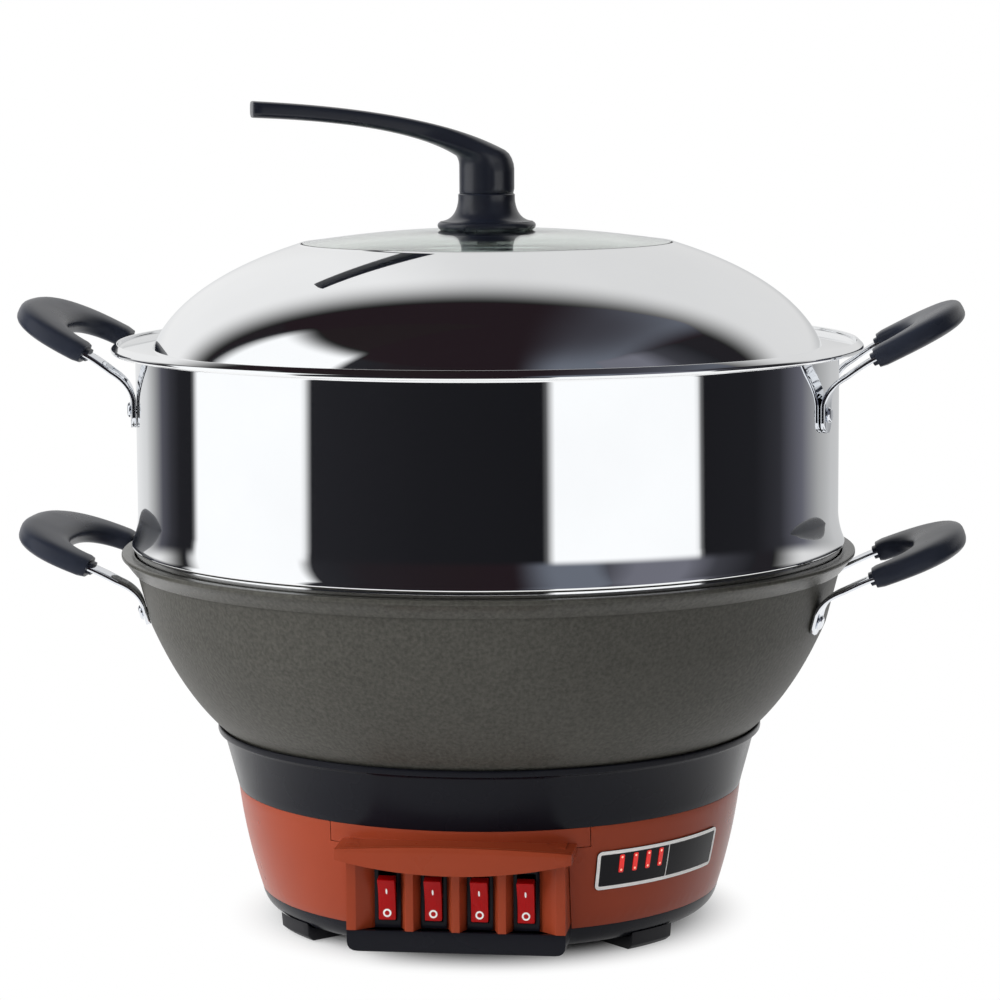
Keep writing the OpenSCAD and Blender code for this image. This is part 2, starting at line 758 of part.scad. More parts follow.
module switch_box() {
    difference() {
        union() {
            translate([-panel_w / 2, -panel_front, z_panel])
                cube([panel_w, panel_front - panel_back, panel_top_h]);
            hood();
        }
        for (x = switch_x) {
            translate([x, 0, z_panel - over]) linear_extrude(bay_h + over)
                bay_plan(x < -switch_pitch ? pillar_mouth : rib_mouth,
                    x > switch_pitch ? pillar_mouth : rib_mouth);
            translate([x - housing_w / 2 - seam, -bay_y - over, z_switch - housing_h / 2 - seam])
                cube([housing_w + 2 * seam, bay_y, housing_h + 2 * seam]);
        }
        translate([-panel_w / 2 + shell_wall, -bay_y + shell_wall, z_panel - over])
            cube([panel_w - 2 * shell_wall, bay_y, panel_top_h - shell_wall + over]);
    }
}

module control_panel() {
    color([0.6, 0.29, 0.2]) union() {
        switch_box();
        intersection() {
            shell_turning();
            translate([-patch_half_w, -2 * panel_front, z_patch])
                cube([2 * patch_half_w, 2 * panel_front - panel_cut, z_ring - z_patch + over]);
        }
    }
}

// Rocker switches

module switch_body(i) {
    color([0.08, 0.08, 0.09]) translate([switch_x[i], 0, z_switch]) difference() {
        union() {
            translate([-bezel_w / 2, -bay_y - bezel_t, -bezel_h / 2]) cube([bezel_w, bezel_t, bezel_h]);
            translate([-housing_w / 2, -bay_y - lap, -housing_h / 2])
                cube([housing_w, housing_depth + lap, housing_h]);
        }
        translate([-well_w / 2, -bay_y - bezel_t - over, -well_h / 2]) cube([well_w, well_depth + over, well_h]);
        translate([0, -pivot_y, 0]) pin_x(pivot_r + run_fit, well_w + 2 * pin_reach + 0.2);
    }
}

module rocker_outline() {
    half = rocker_len / 2;
    polygon([[rocker_crest, half], [rocker_crest - rocker_dip, 0], [rocker_crest, -half],
        [rocker_waist, -half - 0.3], [-rocker_root, -rocker_root_half],
        [-rocker_root, rocker_root_half], [rocker_waist, half + 0.3]]);
}

module rocker(i) {
    color([0.75, 0.08, 0.08]) translate([switch_x[i], -pivot_y, z_switch]) {
        rotate([rocker_throw / 2, 0, 0]) rotate([0, 0, -90]) rotate([90, 0, 0])
            linear_extrude(rocker_w, center = true) rocker_outline();
        pin_x(pivot_r, well_w + 2 * pin_reach);
    }
}

module switch_blades() {
    color([0.85, 0.75, 0.45]) for (x = switch_x) for (dz = [-blade_step / 2, blade_step / 2])
        translate([x - blade_w / 2, -bay_y + housing_depth, z_switch + dz - blade_t / 2])
            cube([blade_w, blade_len, blade_t]);
}

// Indicator plate

module indicator_plate() {
    low = z_plate - plate_h / 2;
    high = z_plate + plate_h / 2;
    outline = concat(shell_side(low, high, fit, 6), reversed(shell_side(low, high, plate_t, 6)));
    color([0.06, 0.06, 0.07]) difference() {
        rotate([0, 0, plate_start - 90]) rotate_extrude(angle = plate_span) polygon(outline);
        lamp_row() lamp_block(lamp_frame);
    }
}

module indicator_lamps() {
    color([0.9, 0.14, 0.1]) lamp_row() lamp_block(0);
}

module lamp_board() {
    board_h = lamp_h + 6;
    board_w = 3 * lamp_pitch + 10;
    color([0.15, 0.35, 0.2]) rotate([0, 0, lamp_angle - 90])
        translate([lamp_front_r - lamp_len - lamp_board_t, -board_w / 2, z_lamp - board_h / 2])
            cube([lamp_board_t, board_w, board_h]);
}

// Insulating ring

module insulating_ring() {
    outer = [[shell_top_r, z_ring], [shell_top_r + 1, z_ring + 4],
        [ring_top_r - 3.2, z_ring_top - ring_lip_h - 2], [ring_top_r, z_ring_top - ring_lip_h],
        [ring_top_r, z_ring_top]];
    inner = [[ring_lip_in, z_ring_top], [ring_top_r - 3.2 - ring_wall + 1, z_ring_top - ring_lip_h - 2.4],
        [shell_top_r + 1 - ring_wall, z_seat + 1], [shell_top_r - ring_wall, z_seat]];
    color([0.1, 0.1, 0.115]) difference() {
        turned(concat(outer, inner, [[ring_inner_r, z_seat], [ring_inner_r, z_ring]]));
        around(stud_angles) translate([stud_pitch_r, 0, z_ring - over])
            cylinder(r = stud_r + fit, h = ring_flange_t + 2 * over);
        around(ring_screw_angles) translate([ring_screw_pitch_r, 0, z_ring - over])
            cylinder(r = screw_r + fit, h = ring_flange_t + 2 * over);
    }
}

module ring_screws() {
    color([0.72, 0.72, 0.72]) around(ring_screw_angles)
        translate([ring_screw_pitch_r, 0, z_ring - shell_flange_t - screw_head_h]) {
            cylinder(r = screw_head_r, h = screw_head_h);
            cylinder(r = screw_r, h = screw_head_h + shell_flange_t + ring_flange_t);
        }
}

// Heater and what holds the pot

module heat_shield() {
    wall = shield_sheet;
    color([0.7, 0.7, 0.68]) difference() {
        turned([[0, z_pan], [pan_r, z_pan], [pan_r + 3, z_shield], [shield_r, z_shield], [shield_r, z_ring],
            [pan_r + 3 - wall, z_ring], [pan_r - wall, z_pan + wall], [0, z_pan + wall]]);
        around(stud_angles) translate([stud_pitch_r, 0, z_pan]) cylinder(r = stud_r + fit, h = z_ring);
        tube_pins(1.4, over);
    }
}

module heater_plate() {
    color([0.78, 0.78, 0.78]) translate([0, 0, z_heater]) cylinder(r = heater_r, h = heater_t);
}

// The straight ends of the heating tubes, which pass down through the shield.
module tube_pins(grow, extra) {
    for (r = [inner_tube_r, outer_tube_r]) let (inset = asin(tube_pin_inset / r))
        around([tube_start + inset, tube_start + tube_sweep - inset])
            translate([r, 0, z_tube - tube_pin_len - extra])
                cylinder(r = tube_pin_r + grow, h = tube_pin_len + extra);
}

module heating_tubes() {
    color([0.45, 0.44, 0.42]) {
        for (r = [inner_tube_r, outer_tube_r]) translate([0, 0, z_tube]) rotate([0, 0, tube_start])
            rotate_extrude(angle = tube_sweep) translate([r, 0]) circle(r = tube_r);
        tube_pins(0, 0);
    }
}

module thermostat() {
    color([0.55, 0.5, 0.42]) translate([0, 0, z_heater - thermostat_h]) {
        cylinder(r = thermostat_r, h = thermostat_h);
        for (s = [-1, 1]) translate([s * 4 - 0.4, -2.4, -3]) cube([0.8, 4.8, 3 + lap]);
    }
}

module thermal_fuse() {
    color([0.85, 0.85, 0.8]) translate([fuse_place, -fuse_place, z_pan + shield_sheet]) {
        translate([-4, -3, 0]) cube([8, 6, 2.4]);
        translate([0, 0, 3.4]) pin_x(2.2, 16);
    }
}

module pot_studs() {
    color([0.75, 0.75, 0.74]) around(stud_angles)
        translate([stud_pitch_r, 0, z_shield - nut_h - 2])
            cylinder(r = stud_r, h = z_seat + stud_grip - z_shield + nut_h + 2);
}

module pot_nuts() {
    color([0.78, 0.76, 0.7]) around(stud_angles) translate([stud_pitch_r, 0, z_shield - nut_h]) difference() {
        cylinder(r = nut_r, h = nut_h, $fn = 6);
        translate([0, 0, -over]) cylinder(r = stud_r + fit, h = nut_h + 2 * over);
    }
}

// Mains inlet and wiring

module mains_inlet() {
    color([0.09, 0.09, 0.1]) translate([0, 0, z_inlet]) difference() {
        union() {
            translate([-inlet_flange[0] / 2, inlet_face, -inlet_flange[2] / 2]) cube(inlet_flange);
            translate([-inlet_body[0] / 2, inlet_face - inlet_body[1], -inlet_body[2] / 2])
                cube([inlet_body[0], inlet_body[1] + lap, inlet_body[2]]);
        }
        translate([-inlet_cavity[0] / 2, inlet_face + inlet_flange[1] - inlet_cavity[1], -inlet_cavity[2] / 2])
            cube([inlet_cavity[0], inlet_cavity[1] + over, inlet_cavity[2]]);
        for (p = inlet_pin_places) translate([p[0] - inlet_pin[2] / 2 - fit, 0, p[1] - inlet_pin[0] / 2 - fit])
            cube([inlet_pin[2] + 2 * fit, inlet_face, inlet_pin[0] + 2 * fit]);
        for (s = [-1, 1]) translate([s * inlet_screw_gap / 2, 0, 0])
            pin_y(inlet_screw_r + fit, inlet_face - over, inlet_flange[1] + 2 * over);
    }
}

module inlet_pins() {
    color([0.86, 0.78, 0.5]) for (p = inlet_pin_places)
        translate([p[0] - inlet_pin[2] / 2, inlet_face - inlet_pin[1], z_inlet + p[1] - inlet_pin[0] / 2])
            cube([inlet_pin[2], inlet_pin[1], inlet_pin[0]]);
}

module inlet_screws() {
    color([0.72, 0.72, 0.72]) for (s = [-1, 1]) translate([s * inlet_screw_gap / 2, 0, z_inlet]) {
        pin_y(inlet_screw_r, inlet_face - inlet_screw_len, inlet_screw_len + inlet_flange[1]);
        pin_y(2 * inlet_screw_r, inlet_face + inlet_flange[1], 1.4);
    }
}

module terminal_block() {
    color([0.9, 0.88, 0.8]) translate([-block_size[0] / 2, block_y - block_size[1] / 2, z_floor]) difference() {
        cube(block_size);
        for (i = [0 : 3]) translate([(i + 0.5) * block_size[0] / 4, block_size[1] / 2, 5]) {
            cylinder(r = 2, h = block_size[2]);
            pin_y(2, -block_size[1], 2 * block_size[1]);
        }
    }
}

module wiring() {
    start_y = block_y - block_size[1] / 2 - 0.4;
    back_y = block_y + block_size[1] / 2 + 0.4;
    blade_y = -bay_y + housing_depth + blade_len + 0.4;
    z_low = z_floor + wire_r + 1;
    color([0.75, 0.72, 0.66]) {
        for (i = [0 : 3]) let (x = (i - 1.5) * block_size[0] / 4, s = switch_x[i], z = z_switch - blade_step / 2)
            wire([[x, start_y, z_floor + 5], [x, start_y - 8, z_floor + 4.6], [x, start_y - 20, z_low],
                [s, blade_y + 40, z_low], [s, blade_y + 16, z - 4], [s, blade_y + 7, z], [s, blade_y, z]]);
        for (s = [-1, 1]) let (z = z_inlet + inlet_pin_places[0][1])
            wire([[s * 7, inlet_face - inlet_pin[1] - 0.4, z], [s * 7, back_y + 22, z],
                [s * 6, back_y + 14, z - 8], [s * 5.5, back_y + 6, z_floor + 6],
                [s * 5.5, back_y, z_floor + 5]]);
    }
}

// Pot

module pot() {
    shoulder = [pot_shoulder_r, z_pot + pot_shoulder_h];
    inner_shoulder = [pot_shoulder_r - pot_wall, z_pot + pot_shoulder_h];
    z_inside = z_pot + pot_floor_t;
    outer = bow([pot_floor_r, z_pot], [pot_heel_r, z_pot], shoulder, 16);
    inner = bow([pot_floor_r - 1, z_inside], [pot_heel_r - 0.7 * pot_wall, z_inside], inner_shoulder, 16);
    rim = [[pot_neck_r, z_band], [pot_neck_r + 1.8, z_band + 0.6], [pot_rim_r, z_rim - 2.2], [pot_rim_r, z_rim],
        [pot_seat_r, z_rim], [pot_seat_r, z_ledge], [pot_inner_neck_r, z_ledge]];
    color([0.33, 0.33, 0.31]) difference() {
        union() {
            turned(concat([[0, z_pot]], outer, rim, reversed(inner), [[0, z_inside]]));
            turned([[foot_ring_in, z_seat], [foot_ring_out, z_seat], [foot_ring_out, pot_top(foot_ring_out)],
                [foot_ring_in, pot_top(foot_ring_in)]]);
        }
        around(stud_angles) translate([stud_pitch_r, 0, z_seat - over])
            cylinder(r = stud_r + fit, h = stud_grip + over + 0.5);
        pot_rivet_axes() cylinder(r = rivet_r + fit, h = 40, center = true);
    }
}

// A height inside the pot's floor metal over a radius of its heel.
function pot_top(r) = let (
    a = pot_floor_r - 2 * pot_heel_r + pot_shoulder_r,
    b = 2 * (pot_heel_r - pot_floor_r),
    t = (-b + sqrt(b * b - 4 * a * (pot_floor_r - r))) / (2 * a)
) z_pot + pot_shoulder_h * t * t + pot_floor_t / 2;

// Grips and straps

module mirrored_x(side) {
    mirror([side < 0 ? 1 : 0, 0, 0]) children();
}

// The frame of a grip: X runs out along its legs, Y across them, Z through its thickness.
module grip_frame(x, z, tilt) {
    translate([x, 0, z]) rotate([0, -tilt, 0]) children();
}

module grip(x, z, tilt) {
    half = leg_half_gap + leg_w / 2;
    inner_half = leg_half_gap - leg_w / 2;
    color([0.1, 0.11, 0.14]) grip_frame(x, z, tilt) difference() {
        translate([0, 0, -grip_t / 2]) linear_extrude(grip_t) difference() {
            polygon(ear(grip_reach, half));
            translate([-over, 0]) polygon(ear(grip_reach - grip_bar_w + over, inner_half));
        }
        for (s = [-1, 1]) translate([-over, s * leg_half_gap - strap_w / 2 - 0.2, -strap_t / 2 - 0.2])
            cube([strap_tail + over + 0.5, strap_w + 0.4, strap_t + 0.4]);
    }
}

// A strap's arm, bent out from the wall at root and running into the grip.
module strap_arm(root, entry, tilt) {
    tail = entry + strap_tail * [cos(tilt), sin(tilt)];
    path = [root + strap_lead, root, entry - 1.5 * [cos(tilt), sin(tilt)], tail];
    for (s = [-1, 1]) translate([0, s * leg_half_gap + strap_w / 2, 0]) rotate([90, 0, 0])
        linear_extrude(strap_w) polygon(ribbon(path, strap_t));
}

// The strap's foot against a turned wall, given as the wall's outline from low to high.
module strap_foot(wall) {
    half = asin(strap_w / 2 / wall[0][0]);
    shape = concat([for (p = wall) p + [fit, 0]], reversed([for (p = wall) p + [strap_t, 0]]));
    for (s = [-1, 1]) rotate([0, 0, s * strap_angle - half]) rotate_extrude(angle = 2 * half) polygon(shape);
}

function pot_plate_wall() = [for (z = [z_pot_plate - plate_drop, z_pot_plate]) [pot_wall_r(z), z]];

function steamer_plate_wall() =
    [for (z = [z_steamer_plate - steamer_plate_drop, z_steamer_plate]) [steamer_r, z]];

module pot_rivet_axes() {
    z = z_pot_plate - rivet_drop;
    for (a = [strap_angle, -strap_angle, 180 - strap_angle, 180 + strap_angle]) rotate([0, 0, a])
        translate([pot_wall_r(z), 0, z]) rotate([0, 90 + pot_lean, 0]) children();
}

module steamer_rivet_axes() {
    for (a = [strap_angle, -strap_angle, 180 - strap_angle, 180 + strap_angle]) rotate([0, 0, a])
        translate([steamer_r, 0, z_steamer_plate - rivet_drop - 2]) rotate([0, 90, 0]) children();
}

module pot_strap() {
    wall = pot_plate_wall();
    root = [wall[1][0] * cos(strap_angle) + strap_t / 2 + 1, z_pot_plate];
    color([0.78, 0.79, 0.8]) difference() {
        union() {
            difference() {
                strap_arm(root, [pot_grip_x, z_pot_grip], pot_grip_tilt);
                turned([[0, z_pot_plate - 30], [pot_wall_r(z_pot_plate - 30) + arm_gap, z_pot_plate - 30],
                    [pot_wall_r(z_band) + arm_gap, z_band], [0, z_band]]);
            }
            strap_foot(wall);
        }
        pot_rivet_axes() cylinder(r = rivet_r + fit, h = 40, center = true);
    }
}

module steamer_strap() {
    wall = steamer_plate_wall();
    root = [wall[1][0] * cos(strap_angle) + strap_t / 2 + 1, z_steamer_plate];
    color([0.78, 0.79, 0.8]) difference() {
        union() {
            difference() {
                strap_arm(root, [steamer_grip_x, z_steamer_grip], steamer_grip_tilt);
                translate([0, 0, z_ledge]) cylinder(r = steamer_r + arm_gap, h = steamer_h);
            }
            strap_foot(wall);
        }
        steamer_rivet_axes() cylinder(r = rivet_r + fit, h = 40, center = true);
    }
}

// A rivet along Z, with its outer head above the strap and its inner head behind the wall.
module rivet(wall, strap) {
    inside = wall + 0.2;
    outside = strap + 0.2;
    translate([0, 0, -inside - rivet_head_t]) cylinder(r = rivet_head_r, h = rivet_head_t);
    translate([0, 0, -inside - lap]) cylinder(r = rivet_r, h = inside + outside + 2 * lap);
    translate([0, 0, outside]) cylinder(r1 = rivet_head_r, r2 = rivet_head_r - 1, h = rivet_head_t);
}

module pot_rivets() {
    color([0.8, 0.8, 0.8]) pot_rivet_axes() rivet(pot_wall + 0.3, strap_t);
}

module steamer_rivets() {
    color([0.8, 0.8, 0.8]) steamer_rivet_axes() rivet(sheet, strap_t);
}

// Steamer

module steamer_body() {
    z_flare = z_neck + 2 + flare_h;
    z_turn = z_flange - 13;
    outer = [[neck_r - edge_in, z_ledge], [neck_r, z_ledge], [neck_r, z_neck],
        [lower_bead_r, z_neck + neck_round], [lower_bead_r, z_neck + 2], [steamer_r, z_flare],
        [steamer_r, z_turn], [steamer_r + 0.6, z_flange - 5], [steamer_r + 2.4, z_flange - sheet],
        [steamer_rim_r - bead_r, z_flange - sheet]];
    inner = [[steamer_rim_r - bead_r, z_flange], [steamer_r + 1.8, z_flange], [steamer_r - 0.2, z_flange - 4.6],
        [steamer_r - sheet, z_turn], [steamer_r - sheet, z_flare], [lower_bead_r - sheet, z_neck + 1.9],
        [lower_bead_r - sheet, z_neck + neck_round + 0.5], [neck_r - sheet, z_neck + 0.4],
        [neck_r - sheet, z_ledge + sheet], [neck_r - edge_in, z_ledge + sheet]];
    color([0.8, 0.81, 0.82]) difference() {
        rotate_extrude() union() {
            polygon(concat(outer, inner));
            translate([steamer_rim_r - bead_r, z_flange - sheet / 2]) circle(r = bead_r);
        }
        steamer_rivet_axes() cylinder(r = rivet_r + fit, h = 30, center = true);
    }
}

// The ring that snaps into the lower bead and carries the steam tray.
module tray_carrier() {
    out = lower_bead_r - sheet - seam;
    color([0.78, 0.79, 0.8]) turned([[out - ledge_w, z_carrier], [out, z_carrier], [out, z_steam],
        [out - ledge_w, z_steam]]);
}

module steam_tray() {
    edge_r = steamer_r - sheet - 2.2;
    rings = floor((edge_r - 14) / steam_ring_step);
    color([0.76, 0.77, 0.78]) difference() {
        translate([0, 0, z_steam]) cylinder(r = edge_r, h = plate_sheet);
        translate([0, 0, z_steam - over]) {
            cylinder(r = finger_hole_r, h = plate_sheet + 2 * over);
            for (k = [1 : rings]) around([for (i = [0 : 6 * k - 1]) 360 * i / (6 * k)])
                translate([k * steam_ring_step, 0, 0]) cylinder(r = steam_hole_r, h = plate_sheet + 2 * over);
        }
    }
}

// Lid

module lid_dome() {
    z_brim = z_flange + sheet;
    outer = bow([glass_frame_r, z_frame], [dome_bulge_r, z_frame - dome_bulge_drop], [dome_foot_r, z_brim], 14);
    inner = bow([glass_frame_r, z_frame - 1.2 * sheet],
        [dome_bulge_r - 0.7 * sheet, z_frame - dome_bulge_drop - 0.9 * sheet],
        [dome_foot_r - sheet, z_flange], 14);
    curl = [for (a = [200 : -26 : -60]) [brim_r - 0.3, z_flange + 1.1] + 0.9 * [cos(a), sin(a)]];
    color([0.82, 0.83, 0.84]) turned(concat(outer, curl, [[brim_r - 0.3, z_flange]], reversed(inner)));
}

// The locating band under the brim, which keeps the lid in the steamer's mouth.
module lid_skirt() {
    color([0.8, 0.81, 0.82]) turned([[skirt_r - sheet, z_flange - skirt_h], [skirt_r, z_flange - skirt_h],
        [skirt_r, z_flange], [skirt_r - sheet, z_flange]]);
}

// The channel that carries the seal and the glass, hanging from the dome's upper edge.
module glass_frame() {
    z_step = z_frame - frame_depth;
    z_hang = z_frame - 1.2 * sheet;
    out = glass_frame_r + sheet;
    lip = glass_frame_r - frame_lip;
    color([0.8, 0.81, 0.82]) turned([[lip, z_step - sheet], [out, z_step - sheet], [out, z_hang - 0.4 * sheet],
        [glass_frame_r, z_hang - fit], [glass_frame_r, z_step], [lip, z_step]]);
}

module glass_seal() {
    z = z_frame - frame_depth;
    out = glass_frame_r - 0.2;
    color([0.12, 0.12, 0.12]) turned([[glass_frame_r - frame_lip, z], [out, z], [out, z + frame_depth - 0.1],
        [out - seal_t, z + frame_depth - 0.1], [out - seal_t, z + seal_t],
        [glass_frame_r - frame_lip, z + seal_t]]);
}

module lid_glass() {
    edge_r = glass_frame_r - 0.2 - seal_t - 0.1;
    top = bow([edge_r, z_glass_edge + glass_t], [0.55 * edge_r, z_glass_top], [glass_flat_r, z_glass_top], 10);
    under = bow([glass_flat_r, z_glass_mid], [0.55 * edge_r, z_glass_mid], [edge_r, z_glass_edge], 10);
    color([0.85, 0.93, 0.88, 0.5]) turned(concat([[edge_r, z_glass_edge]], top,
        [[glass_bore_r, z_glass_top], [glass_bore_r, z_glass_mid]], under));
}

module handle_collar() {
    foot = z_glass_top;
    color([0.09, 0.1, 0.13]) difference() {
        turned(concat([[0, foot], [collar_r - 1.5, foot], [collar_r, foot + 1.2],
            [collar_r, foot + collar_flange_t]],
            bow([collar_r - 1, foot + collar_flange_t + 0.8], [collar_neck_r + 1, foot + collar_flange_t + 1.5],
                [collar_neck_r, z_post - 3], 8),
            [[collar_neck_r, z_post], [0, z_post]]));
        translate([0, 0, foot - over]) cylinder(r = handle_screw_r + fit, h = collar_h + 2 * over);
    }
}

// The arm's side outline: X runs out towards the tip.
function arm_side() = let (
    tip = [arm_reach, z_tip],
    under_tip = [arm_reach, z_tip - arm_tip_t],
    upper = bow(tip, [28, z_tip - 4.7], [-post_r + 4.4, z_arm + 3.2]),
    lower = bow([post_r, z_arm + 1], [40, z_tip - 11.2], under_tip)
) concat(lower, upper, [[-post_r + 0.5, z_arm - 1.6], [-post_r - 0.4, z_arm - 7], [-post_r - 0.4, z_post + 1.5],
    [-2, z_post + 1.5], [-2, z_arm - 2], [post_r - 1.5, z_arm - 2]]);

module lid_handle() {
    color([0.09, 0.1, 0.13]) rotate([0, 0, arm_angle]) difference() {
        union() {
            translate([0, 0, z_post]) cylinder(r = post_r, h = post_h);
            translate([0, arm_w / 2, 0]) rotate([90, 0, 0]) linear_extrude(arm_w) polygon(arm_side());
        }
        translate([0, 0, z_post - over]) cylinder(r = handle_screw_r + fit, h = screw_reach + over + 0.5);
    }
}

module handle_screw() {
    low = z_glass_mid - washer_t;
    color([0.75, 0.75, 0.75]) {
        translate([0, 0, low - handle_head_h]) cylinder(r = handle_head_r, h = handle_head_h);
        translate([0, 0, low - lap]) cylinder(r = handle_screw_r, h = z_post + screw_reach - low + lap);
    }
}

module handle_washer() {
    color([0.2, 0.2, 0.2]) translate([0, 0, z_glass_mid - washer_t]) difference() {
        cylinder(r = washer_r, h = washer_t);
        translate([0, 0, -over]) cylinder(r = handle_screw_r + fit, h = washer_t + 2 * over);
    }
}

bottom_tray();
feet();
tray_screws();
body_shell();
control_panel();
indicator_plate();
indicator_lamps();
lamp_board();
switch_body(0);  // switch_body_1
switch_body(1);  // switch_body_2
switch_body(2);  // switch_body_3
switch_body(3);  // switch_body_4
switch_blades();
rocker(0);  // rocker_1
rocker(1);  // rocker_2
rocker(2);  // rocker_3
rocker(3);  // rocker_4
insulating_ring();
ring_screws();
heat_shield();
heater_plate();
heating_tubes();
thermostat();
thermal_fuse();
pot_studs();
pot_nuts();
mains_inlet();
inlet_pins();
inlet_screws();
terminal_block();
wiring();
pot();
mirrored_x(-1) pot_strap();  // pot_strap_left
mirrored_x(1) pot_strap();  // pot_strap_right
mirrored_x(-1) grip(pot_grip_x, z_pot_grip, pot_grip_tilt);  // pot_grip_left
mirrored_x(1) grip(pot_grip_x, z_pot_grip, pot_grip_tilt);  // pot_grip_right
pot_rivets();
steamer_body();
mirrored_x(-1) steamer_strap();  // steamer_strap_left
mirrored_x(1) steamer_strap();  // steamer_strap_right
mirrored_x(-1) grip(steamer_grip_x, z_steamer_grip, steamer_grip_tilt);  // steamer_grip_left
mirrored_x(1) grip(steamer_grip_x, z_steamer_grip, steamer_grip_tilt);  // steamer_grip_right
steamer_rivets();
tray_carrier();
steam_tray();
lid_dome();
lid_skirt();
glass_frame();
glass_seal();
lid_glass();
handle_collar();
lid_handle();
handle_screw();
handle_washer();
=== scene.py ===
"""Electric cooking pot: a brown base with rocker switches, a cast pot, a steamer tier and a domed lid.

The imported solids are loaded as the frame. Visible mouldings, castings and pressings are then modelled over
them, each with a finish of its own, and set on a pale floor in a soft studio.
"""

import json
import logging
import math
from dataclasses import dataclass
from enum import Enum

import bpy
from mathutils import Matrix, Vector


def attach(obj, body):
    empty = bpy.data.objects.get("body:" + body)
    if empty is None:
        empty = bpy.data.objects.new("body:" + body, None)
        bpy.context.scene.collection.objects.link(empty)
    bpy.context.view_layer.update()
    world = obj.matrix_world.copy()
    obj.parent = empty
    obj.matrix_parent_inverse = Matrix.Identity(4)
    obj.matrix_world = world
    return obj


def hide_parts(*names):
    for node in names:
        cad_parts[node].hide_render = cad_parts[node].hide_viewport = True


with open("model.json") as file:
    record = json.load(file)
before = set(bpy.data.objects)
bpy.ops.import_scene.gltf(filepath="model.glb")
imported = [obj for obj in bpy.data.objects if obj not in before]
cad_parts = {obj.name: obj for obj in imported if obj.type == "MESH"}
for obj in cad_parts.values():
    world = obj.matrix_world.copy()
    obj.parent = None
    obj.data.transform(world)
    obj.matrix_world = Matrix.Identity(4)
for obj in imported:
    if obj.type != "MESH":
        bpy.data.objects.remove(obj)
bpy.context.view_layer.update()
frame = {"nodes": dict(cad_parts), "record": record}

LOG = logging.getLogger("cooking_pot")
MM = 0.001
# Points of a modelled piece and of a copied solid that lie closer than this are merged, in metres
MERGE_GAP = 2e-6
SOLID_GAP = 5e-6
# Faces of a copied solid that meet at less than this are one flat face, in degrees
FLAT_ANGLE = 0.5
# Faces that meet at less than this are shaded as one, in degrees
SOFT_ANGLE = 35
# Corners of an outline that turn by more than this are rounded, in degrees
SHARP_TURN = 25
# A rounding is sized for no sharper turn than this, in radians
WIDEST_TURN = 2.6
# A rounding takes up no more than this share of the edges beside it
EDGE_SHARE = 0.45
# Values between which nearly all of a noise lies
NOISE_SPAN = (0.3, 0.7)
RANGE_ENDS = ("From Min", "From Max", "To Min", "To Max")
MIRROR_X = Matrix.Scale(-1, 4, (1, 0, 0))
Point = tuple[float, float]
Triple = tuple[float, float, float]
Colour = Triple
Piece = bpy.types.Object


class Body(Enum):
    """Bodies of the frame that pieces ride on."""

    BASE = "base"
    STEAMER = "steamer"
    LID = "lid"
    SWITCH_1 = "switch_1"
    SWITCH_2 = "switch_2"
    SWITCH_3 = "switch_3"
    SWITCH_4 = "switch_4"


class Side(Enum):
    """Sides of the pot on which a grip sits, as a sign of X."""

    LEFT = -1
    RIGHT = 1


def rgb(*parts: int) -> Colour:
    """Turn a display colour's red, green and blue, from 0 to 255, into a linear colour."""
    shares = [part / 255 for part in parts]
    return tuple(c / 12.92 if c <= 0.04045 else ((c + 0.055) / 1.055) ** 2.4 for c in shares)


def bow(start: Point, towards: Point, end: Point, steps: int) -> list[Point]:
    """Trace a curve that leaves start towards a point and comes in to end from it.

    Args:
        start: First point.
        towards: Point that both ends aim at.
        end: Last point.
        steps: Number of parts.

    Returns:
        The points, both ends included.
    """
    points = []
    for i in range(steps + 1):
        t = i / steps
        a, b, c = (1 - t) ** 2, 2 * t * (1 - t), t * t
        points.append(tuple(a * p + b * q + c * r for p, q, r in zip(start, towards, end)))
    return points


def arc(centre: Point, radius: float, first: float, last: float, steps: int) -> list[Point]:
    """Trace part of a circle from a first to a last angle, in degrees, both ends included."""
    angles = [math.radians(first + (last - first) * i / steps) for i in range(steps + 1)]
    return [(centre[0] + radius * math.cos(a), centre[1] + radius * math.sin(a)) for a in angles]


def eased(outline: list[Point], radius: float, segments: int = 3) -> list[Point]:
    """Round the sharp corners of a closed outline, apart from those on the axis or behind it.

    Args:
        outline: Corners in order.
        radius: Radius of the rounding.
        segments: Parts of each rounding.

    Returns:
        The rounded outline.
    """
    result: list[Point] = []
    count = len(outline)
    for i, corner in enumerate(outline):
        p, before, after = Vector(corner), Vector(outline[i - 1]), Vector(outline[(i + 1) % count])
        u, v = before - p, after - p
        shorter = min(u.length, v.length)
        turn = 0.0 if min(p.x, shorter) < 1e-6 else math.pi - u.angle(v)
        if turn < math.radians(SHARP_TURN):
            result.append(corner)
            continue
        cut = min(radius * math.tan(min(turn, WIDEST_TURN) / 2), EDGE_SHARE * shorter)
        first, last = p + u.normalized() * cut, p + v.normalized() * cut
        result += bow(tuple(first), corner, tuple(last), segments)
    return result


def squared(value: float, power: float) -> float:
    """Push a sine or cosine outwards, where a power of 1 keeps a plain oval and less is squarer."""
    return math.copysign(abs(value) ** power, value)


def directions(count: int) -> list[Point]:
    """Return the cosine and sine of evenly spaced directions over one turn."""
    angles = [2 * math.pi * k / count for k in range(count)]
    return [(math.cos(a), math.sin(a)) for a in angles]


def ear(reach: float, half: float, turn: float, power: float = 0.8) -> Vector:
    """Return a point of a squared-off half oval, at a turn from -90 to 90 degrees."""
    s, c = math.sin(math.radians(turn)), max(math.cos(math.radians(turn)), 0.0)
    return Vector((reach * c ** power, half * squared(s, power)))


